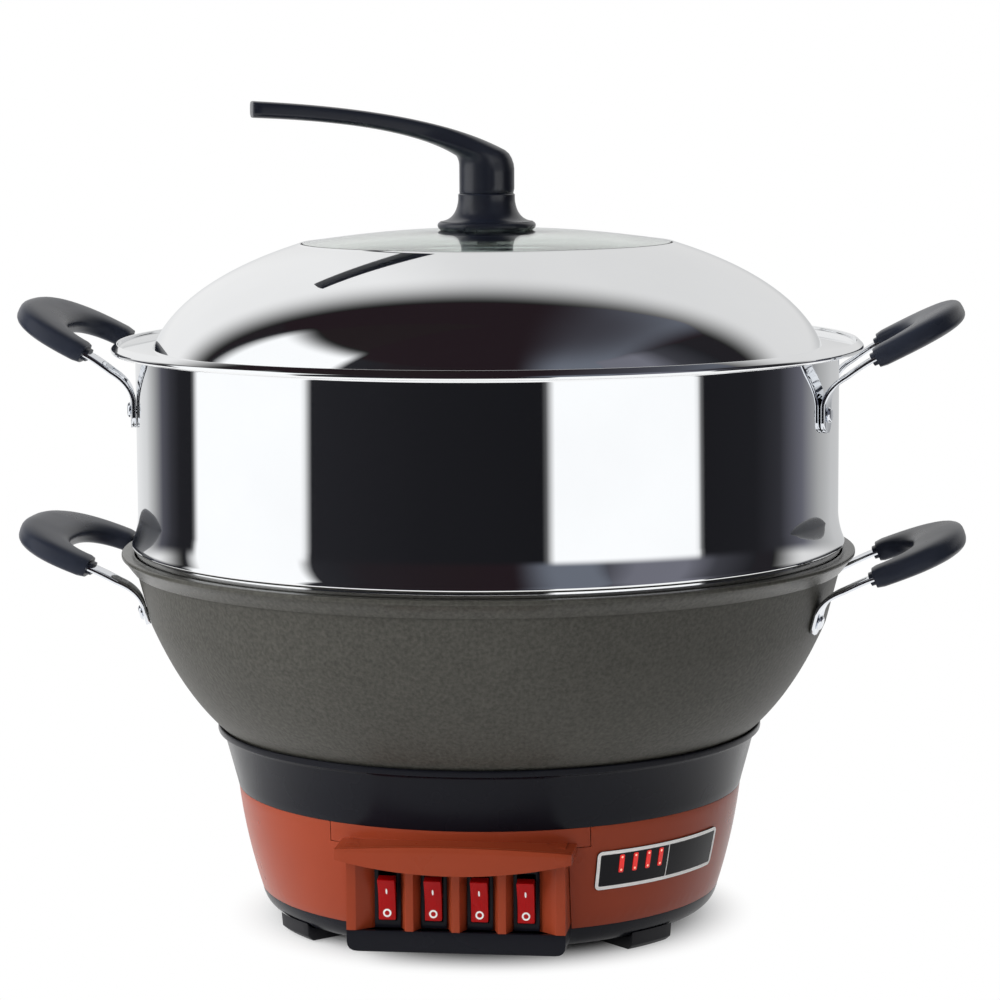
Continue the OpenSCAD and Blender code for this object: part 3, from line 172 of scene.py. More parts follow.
class Bench:
    """Modelling steps that the pieces share."""

    @staticmethod
    def clear() -> None:
        """Leave edit mode and deselect everything."""
        if bpy.context.object and bpy.context.object.mode != "OBJECT":
            bpy.ops.object.mode_set(mode="OBJECT")
        bpy.ops.object.select_all(action="DESELECT")

    @classmethod
    def take(cls, piece: Piece) -> None:
        """Make one piece the only selected and active one.

        Args:
            piece: Piece to work on.
        """
        cls.clear()
        piece.select_set(True)
        bpy.context.view_layer.objects.active = piece

    @staticmethod
    def open_all() -> None:
        """Enter edit mode with everything selected."""
        bpy.ops.object.mode_set(mode="EDIT")
        bpy.ops.mesh.select_all(action="SELECT")

    @classmethod
    def shade(cls, piece: Piece, angle: float = SOFT_ANGLE) -> None:
        """Shade a piece smooth where its faces meet at less than an angle, in degrees."""
        cls.take(piece)
        bpy.ops.object.shade_smooth_by_angle(angle=math.radians(angle))

    @classmethod
    def tidy(cls, piece: Piece, angle: float = SOFT_ANGLE) -> Piece:
        """Merge doubles, turn faces outwards and shade by angle.

        Args:
            piece: Piece to finish.
            angle: Sharpest angle that is still shaded smooth, in degrees.

        Returns:
            The piece.
        """
        cls.take(piece)
        cls.open_all()
        bpy.ops.mesh.remove_doubles(threshold=MERGE_GAP)
        bpy.ops.mesh.normals_make_consistent(inside=False)
        cls.shade(piece, angle)
        return piece

    @classmethod
    def turned(cls, name: str, outline: list[Point], steps: int = 192, angle: float = SOFT_ANGLE) -> Piece:
        """Spin a closed outline, in millimetres of radius and height, once round Z.

        Args:
            name: Name of the piece.
            outline: Corners in order.
            steps: Parts of the turn.
            angle: Sharpest angle that is shaded smooth, in degrees.

        Returns:
            The turned piece.
        """
        cls.clear()
        bpy.ops.mesh.primitive_circle_add(vertices=len(outline), radius=1)
        piece = bpy.context.object
        piece.name = piece.data.name = name
        for vertex, (radius, height) in zip(piece.data.vertices, outline):
            vertex.co = (radius * MM, 0, height * MM)
        cls.open_all()
        bpy.ops.mesh.spin(steps=steps, angle=2 * math.pi, center=(0, 0, 0), axis=(0, 0, 1))
        return cls.tidy(piece, angle)

    @classmethod
    def lofted(cls, name: str, rings: list[list[Vector]], angle: float = SOFT_ANGLE) -> Piece:
        """Skin a row of closed rings, in metres, and close both ends.

        Args:
            name: Name of the piece.
            rings: Rings of equal length.
            angle: Sharpest angle that is shaded smooth, in degrees.

        Returns:
            The skinned piece.
        """
        cls.clear()
        bpy.ops.mesh.primitive_grid_add(x_subdivisions=len(rings[0]), y_subdivisions=len(rings) - 1, size=1)
        piece = bpy.context.object
        piece.name = piece.data.name = name
        places = [p for ring in rings for p in (*ring, ring[0])]
        for vertex, place in zip(piece.data.vertices, places):
            vertex.co = place
        cls.open_all()
        bpy.ops.mesh.remove_doubles(threshold=MERGE_GAP)
        bpy.ops.mesh.fill_holes(sides=0)
        return cls.tidy(piece, angle)

    @classmethod
    def recut(cls, node: str, name: str, width: float, segments: int = 2) -> Piece:
        """Copy a node's solid, merge it and ease its sharp edges.

        Args:
            node: Node of the frame to copy.
            name: Name of the piece.
            width: Width of the easing, in millimetres.
            segments: Parts of the easing.

        Returns:
            The eased copy.
        """
        source = frame["nodes"][node]
        piece = bpy.data.objects.new(name, source.data.copy())
        piece.data.name = name
        piece.data.materials.clear()
        bpy.context.scene.collection.objects.link(piece)
        cls.take(piece)
        if piece.data.has_custom_normals:
            bpy.ops.mesh.customdata_custom_splitnormals_clear()
        cls.open_all()
        bpy.ops.mesh.remove_doubles(threshold=SOLID_GAP)
        bpy.ops.mesh.dissolve_limited(angle_limit=math.radians(FLAT_ANGLE))
        cls.modify(piece, "BEVEL", width=width * MM, segments=segments, limit_method="ANGLE",
                   angle_limit=math.radians(SOFT_ANGLE), harden_normals=False)
        cls.shade(piece)
        return piece

    @classmethod
    def modify(cls, piece: Piece, kind: str, **settings: object) -> None:
        """Add a modifier with settings and apply it.

        Args:
            piece: Piece to change.
            kind: Kind of modifier.
            **settings: Values set on the modifier.
        """
        cls.take(piece)
        modifier = piece.modifiers.new(kind.lower(), kind)
        for key, value in settings.items():
            setattr(modifier, key, value)
        bpy.ops.object.modifier_apply(modifier=modifier.name)

    @classmethod
    def joined(cls, name: str, pieces: list[Piece]) -> Piece:
        """Join pieces into one.

        Args:
            name: Name of the whole.
            pieces: Pieces to join.

        Returns:
            The joined piece.
        """
        cls.clear()
        for piece in pieces:
            piece.select_set(True)
        bpy.context.view_layer.objects.active = pieces[0]
        bpy.ops.object.join()
        pieces[0].name = pieces[0].data.name = name
        return pieces[0]

    @staticmethod
    def placed(piece: Piece, matrix: Matrix) -> Piece:
        """Move a piece's mesh by a matrix, leaving its object at the origin."""
        piece.data.transform(matrix)
        return piece


def new_node(tree: bpy.types.NodeTree, kind: str, **settings: object) -> bpy.types.Node:
    """Add a node to a tree.

    Args:
        tree: Tree to add to.
        kind: Node type.
        **settings: Inputs by name, or attributes of the node.

    Returns:
        The node.
    """
    node = tree.nodes.new(kind)
    for key, value in settings.items():
        if key in node.inputs:
            node.inputs[key].default_value = value
        else:
            setattr(node, key, value)
    return node


def set_range(node: bpy.types.Node, first: float, last: float, low: float, high: float) -> None:
    """Set a range node, so that the first value gives the low result and the last the high one."""
    for key, value in zip(RANGE_ENDS, (first, last, low, high)):
        node.inputs[key].default_value = value


def set_stops(node: bpy.types.Node, stops: list[tuple[float, Colour]]) -> None:
    """Set the stops of a colour ramp.

    Args:
        node: Node to set.
        stops: Places and colours.
    """
    elements = node.color_ramp.elements
    while len(elements) < len(stops):
        elements.new(1.0)
    for element, (place, colour) in zip(elements, stops):
        element.position = place
        element.color = (*colour, 1)


class Nodes:
    """A small hand for wiring a material."""

    def __init__(self, name: str) -> None:
        """Start a material with an empty tree.

        Args:
            name: Name of the material.
        """
        self.material = bpy.data.materials.new(name)
        self.material.use_nodes = True
        self.tree = self.material.node_tree
        self.tree.nodes.clear()
        self.output = self.add("ShaderNodeOutputMaterial")
        self.shader = self.add("ShaderNodeBsdfPrincipled")
        self.link(self.shader, "BSDF", self.output, "Surface")
        self.place = self.add("ShaderNodeTexCoord")

    def add(self, kind: str, **settings: object) -> bpy.types.Node:
        """Add a node, with settings for its inputs by name or for its attributes."""
        return new_node(self.tree, kind, **settings)

    def link(self, source: bpy.types.Node, out: str | int, target: bpy.types.Node, into: str | int) -> None:
        """Join an output to an input."""
        self.tree.links.new(source.outputs[out], target.inputs[into])

    def fix(self, **values: object) -> None:
        """Set inputs of the shader, named with _ for a space, to constants."""
        for key, value in values.items():
            self.shader.inputs[key.replace("_", " ")].default_value = value

    def noise(self, scale: float, detail: float, stretch: Triple = (1, 1, 1)) -> bpy.types.Node:
        """Add noise on Object coordinates.

        Args:
            scale: Size of the pattern, in waves to the metre.
            detail: Levels of detail.
            stretch: Scale along each axis.

        Returns:
            The noise node.
        """
        mapping = self.add("ShaderNodeMapping", Scale=stretch)
        self.link(self.place, "Object", mapping, "Vector")
        node = self.add("ShaderNodeTexNoise", Scale=scale, Detail=detail)
        self.link(mapping, "Vector", node, "Vector")
        return node

    def ramp(self, source: bpy.types.Node, stops: list[tuple[float, Colour]]) -> bpy.types.Node:
        """Map a noise to colours.

        Args:
            source: Noise node.
            stops: Places and colours.

        Returns:
            The ramp node.
        """
        node = self.add("ShaderNodeValToRGB")
        set_stops(node, stops)
        self.link(source, "Fac", node, "Fac")
        return node

    def tint(self, source: bpy.types.Node, stops: list[tuple[float, Colour]]) -> None:
        """Colour the shader by a noise, through the stops of a ramp."""
        self.link(self.ramp(source, stops), "Color", self.shader, "Base Color")

    def roughen(self, source: bpy.types.Node, out: str, low: float, high: float) -> None:
        """Spread a value over a range of the shader's roughness.

        Args:
            source: Node with the value.
            out: Its output.
            low: Roughness at the low end of a noise.
            high: Roughness at its high end.
        """
        node = self.add("ShaderNodeMapRange")
        set_range(node, *NOISE_SPAN, low, high)
        self.link(source, out, node, "Value")
        self.link(node, "Result", self.shader, "Roughness")

    def bump(self, source: bpy.types.Node, out: str | int, strength: float, depth: float,
             under: bpy.types.Node | None = None) -> bpy.types.Node:
        """Raise the surface by a value.

        Args:
            source: Node with the height.
            out: Its output.
            strength: Strength of the relief.
            depth: Depth of the relief, in metres.
            under: Relief that this one adds to.

        Returns:
            The bump node.
        """
        node = self.add("ShaderNodeBump", Strength=strength, Distance=depth)
        self.link(source, out, node, "Height")
        if under is not None:
            self.link(under, "Normal", node, "Normal")
        self.link(node, "Normal", self.shader, "Normal")
        return node


def tones(colour: Colour, spread: float) -> list[tuple[float, Colour]]:
    """Return a darker, a plain and a lighter stop of one colour, by the share that they differ."""
    dark, light = (tuple(min(c * share, 1) for c in colour) for share in (1 - spread, 1 + spread))
    return [(NOISE_SPAN[0], dark), (sum(NOISE_SPAN) / 2, colour), (NOISE_SPAN[1], light)]


@dataclass(frozen=True)
class Moulding:
    """A moulded plastic or bakelite with a fine grain."""

    name: str
    colour: Colour
    roughness: float = 0.4
    grain: float = 900
    relief: float = 0.00002
    spread: float = 0.08
    gloss: float = 0.5
    cloud_scale: float = 22
    uneven: float = 0.05
    grain_strength: float = 0.35

    def material(self) -> bpy.types.Material:
        """Build the material.

        Returns:
            The material.
        """
        n = Nodes(self.name)
        cloud = n.noise(self.cloud_scale, 4)
        grain = n.noise(self.grain, 3)
        n.tint(cloud, tones(self.colour, self.spread))
        n.roughen(cloud, "Fac", self.roughness - self.uneven, self.roughness + self.uneven)
        n.bump(grain, "Fac", self.grain_strength, self.relief)
        n.fix(Specular_IOR_Level=self.gloss)
        return n.material


@dataclass(frozen=True)
class Casting:
    """A sandy coated casting, smooth on its rim band."""

    name: str
    colour: Colour
    band_from: float
    roughness: float = 0.46
    band_fade: float = 0.0006
    band_relief: float = 0.12
    flecks: float = 0.26
    patches: float = 0.86
    cloud_scale: float = 9
    sand_scale: float = 560
    pit_scale: float = 1900
    sand_relief: Point = (0.6, 0.0005)
    pit_relief: Point = (0.12, 0.0001)

    def material(self) -> bpy.types.Material:
        """Build the material.

        Returns:
            The material.
        """
        n = Nodes(self.name)
        cloud = n.noise(self.cloud_scale, 3)
        sand = n.noise(self.sand_scale, 5)
        pit = n.noise(self.pit_scale, 2)
        flecks = n.ramp(sand, tones(self.colour, self.flecks))
        broad = n.ramp(cloud, [(NOISE_SPAN[0], (self.patches,) * 3), (NOISE_SPAN[1], (1, 1, 1))])
        mix = n.add("ShaderNodeMix", data_type="RGBA", blend_type="MULTIPLY", Factor=1.0)
        n.link(flecks, "Color", mix, 6)
        n.link(broad, "Color", mix, 7)
        n.link(mix, 2, n.shader, "Base Color")
        split = n.add("ShaderNodeSeparateXYZ")
        n.link(n.place, "Object", split, "Vector")
        mask = n.add("ShaderNodeMapRange")
        fade = self.band_fade
        set_range(mask, self.band_from - fade, self.band_from + fade, 1.0, self.band_relief)
        n.link(split, "Z", mask, "Value")
        n.roughen(mask, "Result", self.roughness - 0.2, self.roughness)
        height = n.add("ShaderNodeMath", operation="MULTIPLY")
        n.link(sand, "Fac", height, 0)
        n.link(mask, "Result", height, 1)
        coarse = n.bump(height, 0, *self.sand_relief)
        n.bump(pit, "Fac", *self.pit_relief, coarse)
        n.fix(Metallic=0.1, Specular_IOR_Level=0.16)
        return n.material


@dataclass(frozen=True)
class Metal:
    """A polished, plated or brushed metal."""

    name: str
    colour: Colour
    roughness: float = 0.06
    brushing: float = 0.0
    spread: float = 0.02
    scratch: float = 0.00003
    cloud_scale: float = 14
    streak_scale: float = 60
    streak_stretch: Triple = (1, 1, 26)

    def material(self) -> bpy.types.Material:
        """Build the material.

        Returns:
            The material.
        """
        n = Nodes(self.name)
        cloud = n.noise(self.cloud_scale, 4)
        streak = n.noise(self.streak_scale, 4, self.streak_stretch)
        n.tint(cloud, tones(self.colour, self.spread))
        n.roughen(streak, "Fac", self.roughness * 0.8, self.roughness * 1.25)
        if self.brushing > 0:
            n.bump(streak, "Fac", self.brushing, self.scratch)
        n.fix(Metallic=1.0)
        return n.material


@dataclass(frozen=True)
class Glazing:
    """Clear glass with a faint tint and a few specks."""

    name: str
    colour: Colour
    haze_scale: float = 40
    spread: float = 0.015
    dullest: float = 0.03
    ior: float = 1.5

    def material(self) -> bpy.types.Material:
        """Build the material.

        Returns:
            The material.
        """
        n = Nodes(self.name)
        haze = n.noise(self.haze_scale, 4)
        n.tint(haze, tones(self.colour, self.spread))
        n.roughen(haze, "Fac", 0.0, self.dullest)
        n.fix(Transmission_Weight=1.0, IOR=self.ior)
        return n.material


@dataclass(frozen=True)
class Lens:
    """A tinted lamp lens that glows a little."""

    name: str
    colour: Colour
    glow: float
    cloud_scale: float = 260
    spread: float = 0.25
    roughness: Point = (0.12, 0.24)

    def material(self) -> bpy.types.Material:
        """Build the material.

        Returns:
            The material.
        """
        n = Nodes(self.name)
        cloud = n.noise(self.cloud_scale, 2)
        n.tint(cloud, tones(self.colour, self.spread))
        n.roughen(cloud, "Fac", *self.roughness)
        n.fix(Emission_Color=(*self.colour, 1), Emission_Strength=self.glow)
        return n.material


class Finishes:
    """All finishes, built once and handed out by name, most of them the name of a slot."""

    def __init__(self) -> None:
        """Build every finish."""
        kinds = [
            Moulding("brown_plastic", rgb(150, 62, 36), 0.3, 700, 0.000012, 0.05, 0.16),
            Moulding("black_plastic", rgb(20, 21, 28), 0.27, 900, 0.00002, 0.1, 0.12),
            Moulding("foot_rubber", rgb(22, 22, 27), 0.5, 1200, 0.00004, 0.12, 0.2),
            Moulding("bakelite", rgb(43, 47, 58), 0.3, 1100, 0.000015, 0.1, 0.12),
            Casting("cast_pot", rgb(77, 76, 71), 0.1758),
            Metal("mirror_steel", rgb(246, 247, 248), 0.03),
            Metal("strap_steel", rgb(232, 235, 240), 0.09, 0.1),
            Glazing("window_glass", rgb(244, 253, 247)),
            Moulding("seal_rubber", rgb(26, 26, 27), 0.65, 1500, 0.00003, 0.1),
            Moulding("rocker_red", rgb(168, 9, 12), 0.25, 500, 0.000006, 0.06, 0.15),
            Lens("lamp_red", rgb(232, 30, 22), 0.3),
            Moulding("plate_black", rgb(18, 18, 23), 0.24, 400, 0.000004, 0.1, 0.12),
            Metal("heater_aluminium", rgb(196, 196, 196), 0.42, 0.5, 0.08),
            Metal("sheath_steel", rgb(128, 120, 110), 0.38, 0.3, 0.2),
            Metal("zinc_steel", rgb(196, 195, 190), 0.28, 0.2, 0.08),
            Metal("contact_brass", rgb(206, 172, 96), 0.25, 0.2, 0.08),
            Moulding("ceramic", rgb(222, 214, 194), 0.6, 800, 0.00003, 0.06),
            Moulding("board", rgb(34, 74, 48), 0.45, 900, 0.00002, 0.1),
            Moulding("wire_cover", rgb(196, 188, 170), 0.7, 1600, 0.00006, 0.1),
            Moulding("white_print", rgb(253, 252, 250), 0.4, 600, 0.000004, 0.03),
            Lens("lamp_glow", rgb(255, 176, 150), 0.7),
            Moulding("lid_bakelite", rgb(27, 31, 43), 0.3, 1100, 0.00001, 0.1, 0.7),
        ]
        self.by_name = {kind.name: kind.material() for kind in kinds}

    def dress(self, piece: Piece, slot: str, finish: str | None = None) -> None:
        """Give a piece one finish, by default the one that its slot names.

        Args:
            piece: Piece to dress.
            slot: Material slot of the record.
            finish: Finish to use, if it differs from the slot's own.
        """
        piece.data.materials.clear()
        piece.data.materials.append(self.by_name[finish or slot])

    def dress_node(self, node: str, slot: str) -> None:
        """Give a node of the frame a finish, leaving its mesh as it is.

        Args:
            node: Name of the node.
            slot: Its material slot, which names the finish.
        """
        materials = frame["nodes"][node].data.materials
        if not materials:
            materials.append(self.by_name[slot])
        for i in range(len(materials)):
            materials[i] = self.by_name[slot]


@dataclass
class Assembly:
    """Pieces that belong together, with the finishes they take."""

    finishes: Finishes

    def keep(self, piece: Piece, body: Body, slot: str, *nodes: str, finish: str | None = None) -> None:
        """Dress a piece, set it on its body, hide the nodes that it replaces and log it.

        Args:
            piece: Finished piece.
            body: Body that it rides on.
            slot: Material slot of the record.
            *nodes: Nodes that it replaces.
            finish: Finish to use, if it differs from the slot's own.
        """
        self.finishes.dress(piece, slot, finish)
        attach(piece, body.value)
        if nodes:
            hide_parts(*nodes)
        LOG.info("%s on %s, %d faces", piece.name, body.value, len(piece.data.polygons))

    def recast(self, node: str, name: str, body: Body, slot: str, width: float, segments: int = 2) -> None:
        """Keep an eased copy of a node's solid in the node's place."""
        self.keep(Bench.recut(node, name, width, segments), body, slot, node)


@dataclass
class BaseUnit(Assembly):
    """Body shell, bottom tray, feet and insulating ring."""

    ring_foot: float = 67
    ring_top: float = 98
    shell_top_radius: float = 126
    ring_top_radius: float = 136.04
    ring_lip_inner: float = 134.74
    ring_bore: float = 97
    ring_floor: float = 3

    def build(self) -> None:
        """Model and dress the base."""
        self.recast("body_shell", "shell_moulding", Body.BASE, "brown_plastic", 0.5)
        self.recast("bottom_tray", "tray_moulding", Body.BASE, "black_plastic", 0.9, 3)
        self.recast("feet", "foot_mouldings", Body.BASE, "foot_rubber", 1.2, 3)
        self.build_ring()

    def build_ring(self) -> None:
        """Turn the insulating ring with its rolled lip."""
        low, high, foot, top = self.ring_foot, self.ring_top, self.shell_top_radius, self.ring_top_radius
        bore, floor = self.ring_bore, low + self.ring_floor
        outer = [(foot, low), (foot + 1, low + 4), (top - 3.2, high - 5)]
        lip = [(top - 2.6, high - 4.1), (top - 0.2, high - 3.1), (top, high - 2.4), (top, high)]
        inner = [(self.ring_lip_inner, high), (top - 4.8, high - 5.4), (foot - 1.6, low + 4)]
        outline = outer + lip + inner + [(foot - 2.6, floor), (bore, floor), (bore, low)]
        ring = Bench.turned("ring_moulding", eased(outline, 0.5))
        self.keep(ring, Body.BASE, "black_plastic", "insulating_ring")


@dataclass
class ControlBox(Assembly):
    """Front panel with its hood, rocker switches and marks."""

    pitch: float = 22
    pivot: Point = (-118, 34.5)
    rocker_width: float = 8.2
    rocker_half: float = 10.3
    rocker_out: float = 7
    hollow: float = 1.6
    pin_radius: float = 1.4
    pin_half: float = 5
    tip: float = 12
    mark_height: float = 0.3
    mark_sunk: float = 0.16
    bar_at: float = 4
    bar_half: Point = (0.42, 1.5)
    ring_at: float = -7
    ring_radii: Point = (1.15, 2)
    hood_front: float = 141
    hood_half: float = 56
    hood_sweep: float = 5
    hood_low: Point = (49, 5.5)
    hood_high: Point = (62.5, 3)
    hood_end: float = 3
    lip: float = 3.5
    lip_over: float = 0.15

    def build(self) -> None:
        """Model and dress the panel and its switches."""
        self.recast("control_panel", "panel_moulding", Body.BASE, "brown_plastic", 0.6, 3)
        self.keep(self.visor(), Body.BASE, "brown_plastic")
        for number in range(1, 5):
            housing = f"switch_housing_{number}"
            self.recast(f"switch_body_{number}", housing, Body.BASE, "black_plastic", 0.3)
            body = Body[f"SWITCH_{number}"]
            x = (number - 2.5) * self.pitch
            self.keep(self.rocker(number, x), body, "rocker_red", f"rocker_{number}")
            self.keep(self.marks(number, x), body, "rocker_red", finish="white_print")

    def visor(self) -> Piece:
        """Skin the hood's front lip with rounded edges and ends.

        Returns:
            The lip.
        """
        rings = []
        count = 56
        for i in range(count + 1):
            share = -math.cos(math.pi * i / count)
            x = self.hood_half * share
            near_end = max(0.0, (abs(x) - self.hood_half) / self.hood_end + 1)
            full = max(0.0, 1 - near_end ** 2) ** 0.5
            front = -self.hood_front + self.hood_sweep * share ** 2
            low = self.hood_low[0] + self.hood_low[1] * share ** 2
            high = self.hood_high[0] - self.hood_high[1] * share ** 2
            middle = Vector((x, front + self.lip / 2, (low + high) / 2))
            deep = (self.lip / 2 + self.lip_over) * (0.4 + 0.6 * full)
            tall = ((high - low) / 2 + self.lip_over) * (0.35 + 0.65 * full)
            outs = [Vector((0, deep * squared(c, 0.6), tall * squared(s, 0.45))) for c, s in directions(32)]
            rings.append([(middle + out) * MM for out in outs])
        return Bench.lofted("hood_lip", rings, 50)

    def axle(self, x: float) -> Matrix:
        """Return the place of a rocker's pivot, from its place across the panel."""
        return Matrix.Translation(Vector((x, *self.pivot)) * MM)

    def face(self, w: float) -> float:
        """Return how far a rocker's hollowed face stands out, at a height from its pivot."""
        return self.rocker_out - self.hollow * (1 - (w / self.rocker_half) ** 2)

    def tilt(self, x: float) -> Matrix:
        """Return the place of a tipped rocker, from a frame with Y out of the panel and Z up it."""
        lean = Matrix.Rotation(math.radians(self.tip), 4, "X")
        return self.axle(x) @ lean @ Matrix.Rotation(math.pi, 4, "Z")

    def rocker(self, number: int, x: float) -> Piece:
        """Skin a rocker with a hollowed face and rounded ends.

        Args:
            number: Number of the switch from the left.
            x: Place across the panel.

        Returns:
            The rocker with its pivot pins.
        """
        half, width = self.rocker_half, self.rocker_width / 2
        face = [(self.face(w), w) for w in [half * (k / 10 - 1) for k in range(21)]]
        side = eased(face + [(2, half + 0.3), (-3.5, 4.5), (-3.5, -4.5), (2, -half - 0.3)], 0.5)
        edge = [(width, 0.5), (width - 0.15, 0.15), (width - 0.5, 0)]
        rings = []
        for across, inset in [(-a, b) for a, b in edge] + edge[::-1]:
            thin, short = 1 - inset / self.rocker_out, 1 - inset / half
            rings.append([Vector((across, u * thin, w * short)) * MM for u, w in side])
        name = f"rocker_cap_{number}"
        block = Bench.placed(Bench.lofted(name, rings, 40), self.tilt(x))
        end, thick = self.pin_half, self.pin_radius
        pin = Bench.turned("rocker_pin", eased([(0, -end), (thick, -end), (thick, end), (0, end)], 0.2), 32)
        Bench.placed(pin, self.axle(x) @ Matrix.Rotation(math.pi / 2, 4, "Y"))
        return Bench.joined(name, [block, pin])

    def marks(self, number: int, x: float) -> Piece:
        """Model the bar and the ring printed on a rocker.

        Args:
            number: Number of the switch from the left.
            x: Place across the panel.

        Returns:
            Both marks as one piece.
        """
        high = self.mark_height
        inner, outer = self.ring_radii
        section = eased([(inner, 0), (outer, 0), (outer, high), (inner, high)], 0.08)
        ring = Bench.turned("off_mark", section, 48)
        wide, tall = self.bar_half
        oval = [(wide * c, tall * s) for c, s in directions(24)]
        bar = Bench.lofted("on_mark", [[Vector((a, b, h)) * MM for a, b in oval] for h in (0.0, high)])
        pieces = []
        for mark, w in ((bar, self.bar_at), (ring, self.ring_at)):
            lean = -math.atan(2 * self.hollow * w / self.rocker_half ** 2)
            local = Matrix.Translation(Vector((0, self.face(w) - self.mark_sunk, w)) * MM)
            local = local @ Matrix.Rotation(lean - math.pi / 2, 4, "X")
            pieces.append(Bench.placed(mark, self.tilt(x) @ local))
        return Bench.joined(f"rocker_marks_{number}", pieces)


@dataclass
class IndicatorPlate(Assembly):
    """Curved black plate with a white border and four lamps."""

    start: float = 31.5
    length: float = 82
    low: float = 34.75
    high: float = 54.25
    corner: float = 2.6
    divider: float = 42.2
    lamp_first: float = 13.4
    lamp_pitch: float = 7.8
    lamp_mid: float = 47.2
    lamp_half: Point = (1.3, 4.5)
    lamp_corner: float = 0.7
    glow_radius: float = 0.55
    border_insets: Point = (0.1, 1.8)
    divider_half: float = 0.22
    divider_inset: float = 1.2
    film_levels: Point = (0.08, 0.8)
    border_levels: Point = (0.6, 0.9)
    divider_levels: Point = (0.6, 0.86)
    lens_levels: Point = (0.6, 1.1)
    glow_levels: Point = (1.0, 1.16)
    bend_radius: float = 123
    shell_foot: float = 16
    shell_rise: float = 51
    shell_radii: Triple = (115, 123, 126)

    def shell_radius(self, z: float) -> float:
        """Work out the shell's outer radius at a height.

        Args:
            z: Height in millimetres.

        Returns:
            The radius in millimetres.
        """
        t = (z - self.shell_foot) / self.shell_rise
        low, mid, high = self.shell_radii
        return (1 - t) ** 2 * low + 2 * t * (1 - t) * mid + t * t * high

    def on_shell(self, along: float, z: float, out: float) -> Vector:
        """Give a point over the shell.

        Args:
            along: Distance along the plate from its near end.
            z: Height.
            out: Distance from the shell's surface.

        Returns:
            The point, in metres.
        """
        radius = self.shell_radius(z) + out
        turn = math.radians(self.start - 90) + along / self.bend_radius
        return Vector((radius * math.cos(turn), radius * math.sin(turn), z)) * MM

    def film(self, name: str, outline: list[Point], levels: Point, inner: list[Point] | None = None) -> Piece:
        """Lay a flat outline over the shell as a film, either solid or as a frame.

        Args:
            name: Name of the piece.
            outline: Corners along the plate and in height.
            levels: Distances of the underside and of the face from the shell.
            inner: Corners of the opening of a frame, matching the outline's.

        Returns:
            The film.
        """
        if inner is None:
            cx, cz = (sum(values) / len(outline) for values in zip(*outline))
            shares = [0.02 + 0.98 * k / 10 for k in range(11)]
            rows = [[(cx + (a - cx) * s, cz + (b - cz) * s) for a, b in outline] for s in shares]
        else:
            rows = [inner, outline]
        low, high = levels
        rings = [[self.on_shell(a, b, low) for a, b in row] for row in rows]
        rings += [[self.on_shell(a, b, high) for a, b in row] for row in reversed(rows)]
        if inner is not None:
            rings.append(rings[0])
        return Bench.lofted(name, rings, 40)

    def oblong(self, left: float, right: float, low: float, high: float, corner: float) -> list[Point]:
        """Give a rounded oblong on the plate.

        Args:
            left: Near end along the plate.
            right: Far end along the plate.
            low: Lower edge.
            high: Upper edge.
            corner: Radius of the corners.

        Returns:
            Points along its edge, close enough to follow the shell's curve.
        """
        corners = (((right - corner, low + corner), -90), ((right - corner, high - corner), 0),
                   ((left + corner, high - corner), 90), ((left + corner, low + corner), 180))
        outline: list[Point] = []
        for centre, first in corners:
            outline += arc(centre, corner, first, first + 90, 6)
        filled: list[Point] = []
        for i, p in enumerate(outline):
            q = outline[(i + 1) % len(outline)]
            parts = max(1, int(math.dist(p, q) / 3))
            filled += [tuple(a + (b - a) * k / parts for a, b in zip(p, q)) for k in range(parts)]
        return filled

    def inset(self, by: float) -> list[Point]:
        """Give the plate's outline, set in by some amount."""
        return self.oblong(by, self.length - by, self.low + by, self.high - by, max(self.corner - by, 0.4))

    def build(self) -> None:
        """Model and dress the plate, its border, its divider and the lamps."""
        film = self.film("indicator_film", self.inset(0), self.film_levels)
        self.keep(film, Body.BASE, "plate_black", "indicator_plate")
        outer, inner = [self.inset(by) for by in self.border_insets]
        border = self.film("indicator_border", outer, self.border_levels, inner)
        half, inset = self.divider_half, self.divider_inset
        rail = self.oblong(self.divider - half, self.divider + half, self.low + inset, self.high - inset, 0.1)
        divider = self.film("indicator_divider", rail, self.divider_levels)
        printed = Bench.joined("indicator_print", [border, divider])
        self.keep(printed, Body.BASE, "plate_black", finish="white_print")
        self.build_lamps()

    def build_lamps(self) -> None:
        """Model the four lenses, each with a lit spot at either end."""
        lenses, spots = [], []
        wide, tall = self.lamp_half
        z = self.lamp_mid
        for i in range(4):
            a = self.lamp_first + i * self.lamp_pitch
            outline = self.oblong(a - wide, a + wide, z - tall, z + tall, self.lamp_corner)
            lenses.append(self.film(f"lens_{i + 1}", outline, self.lens_levels))
            for end in (-1, 1):
                ring = arc((a, z + end * (tall - wide)), self.glow_radius, 0, 337.5, 15)
                spots.append(self.film("spot", ring, self.glow_levels))
        self.keep(Bench.joined("lamp_lenses", lenses), Body.BASE, "lamp_red", "indicator_lamps")
        self.keep(Bench.joined("lamp_spots", spots), Body.BASE, "lamp_red", finish="lamp_glow")


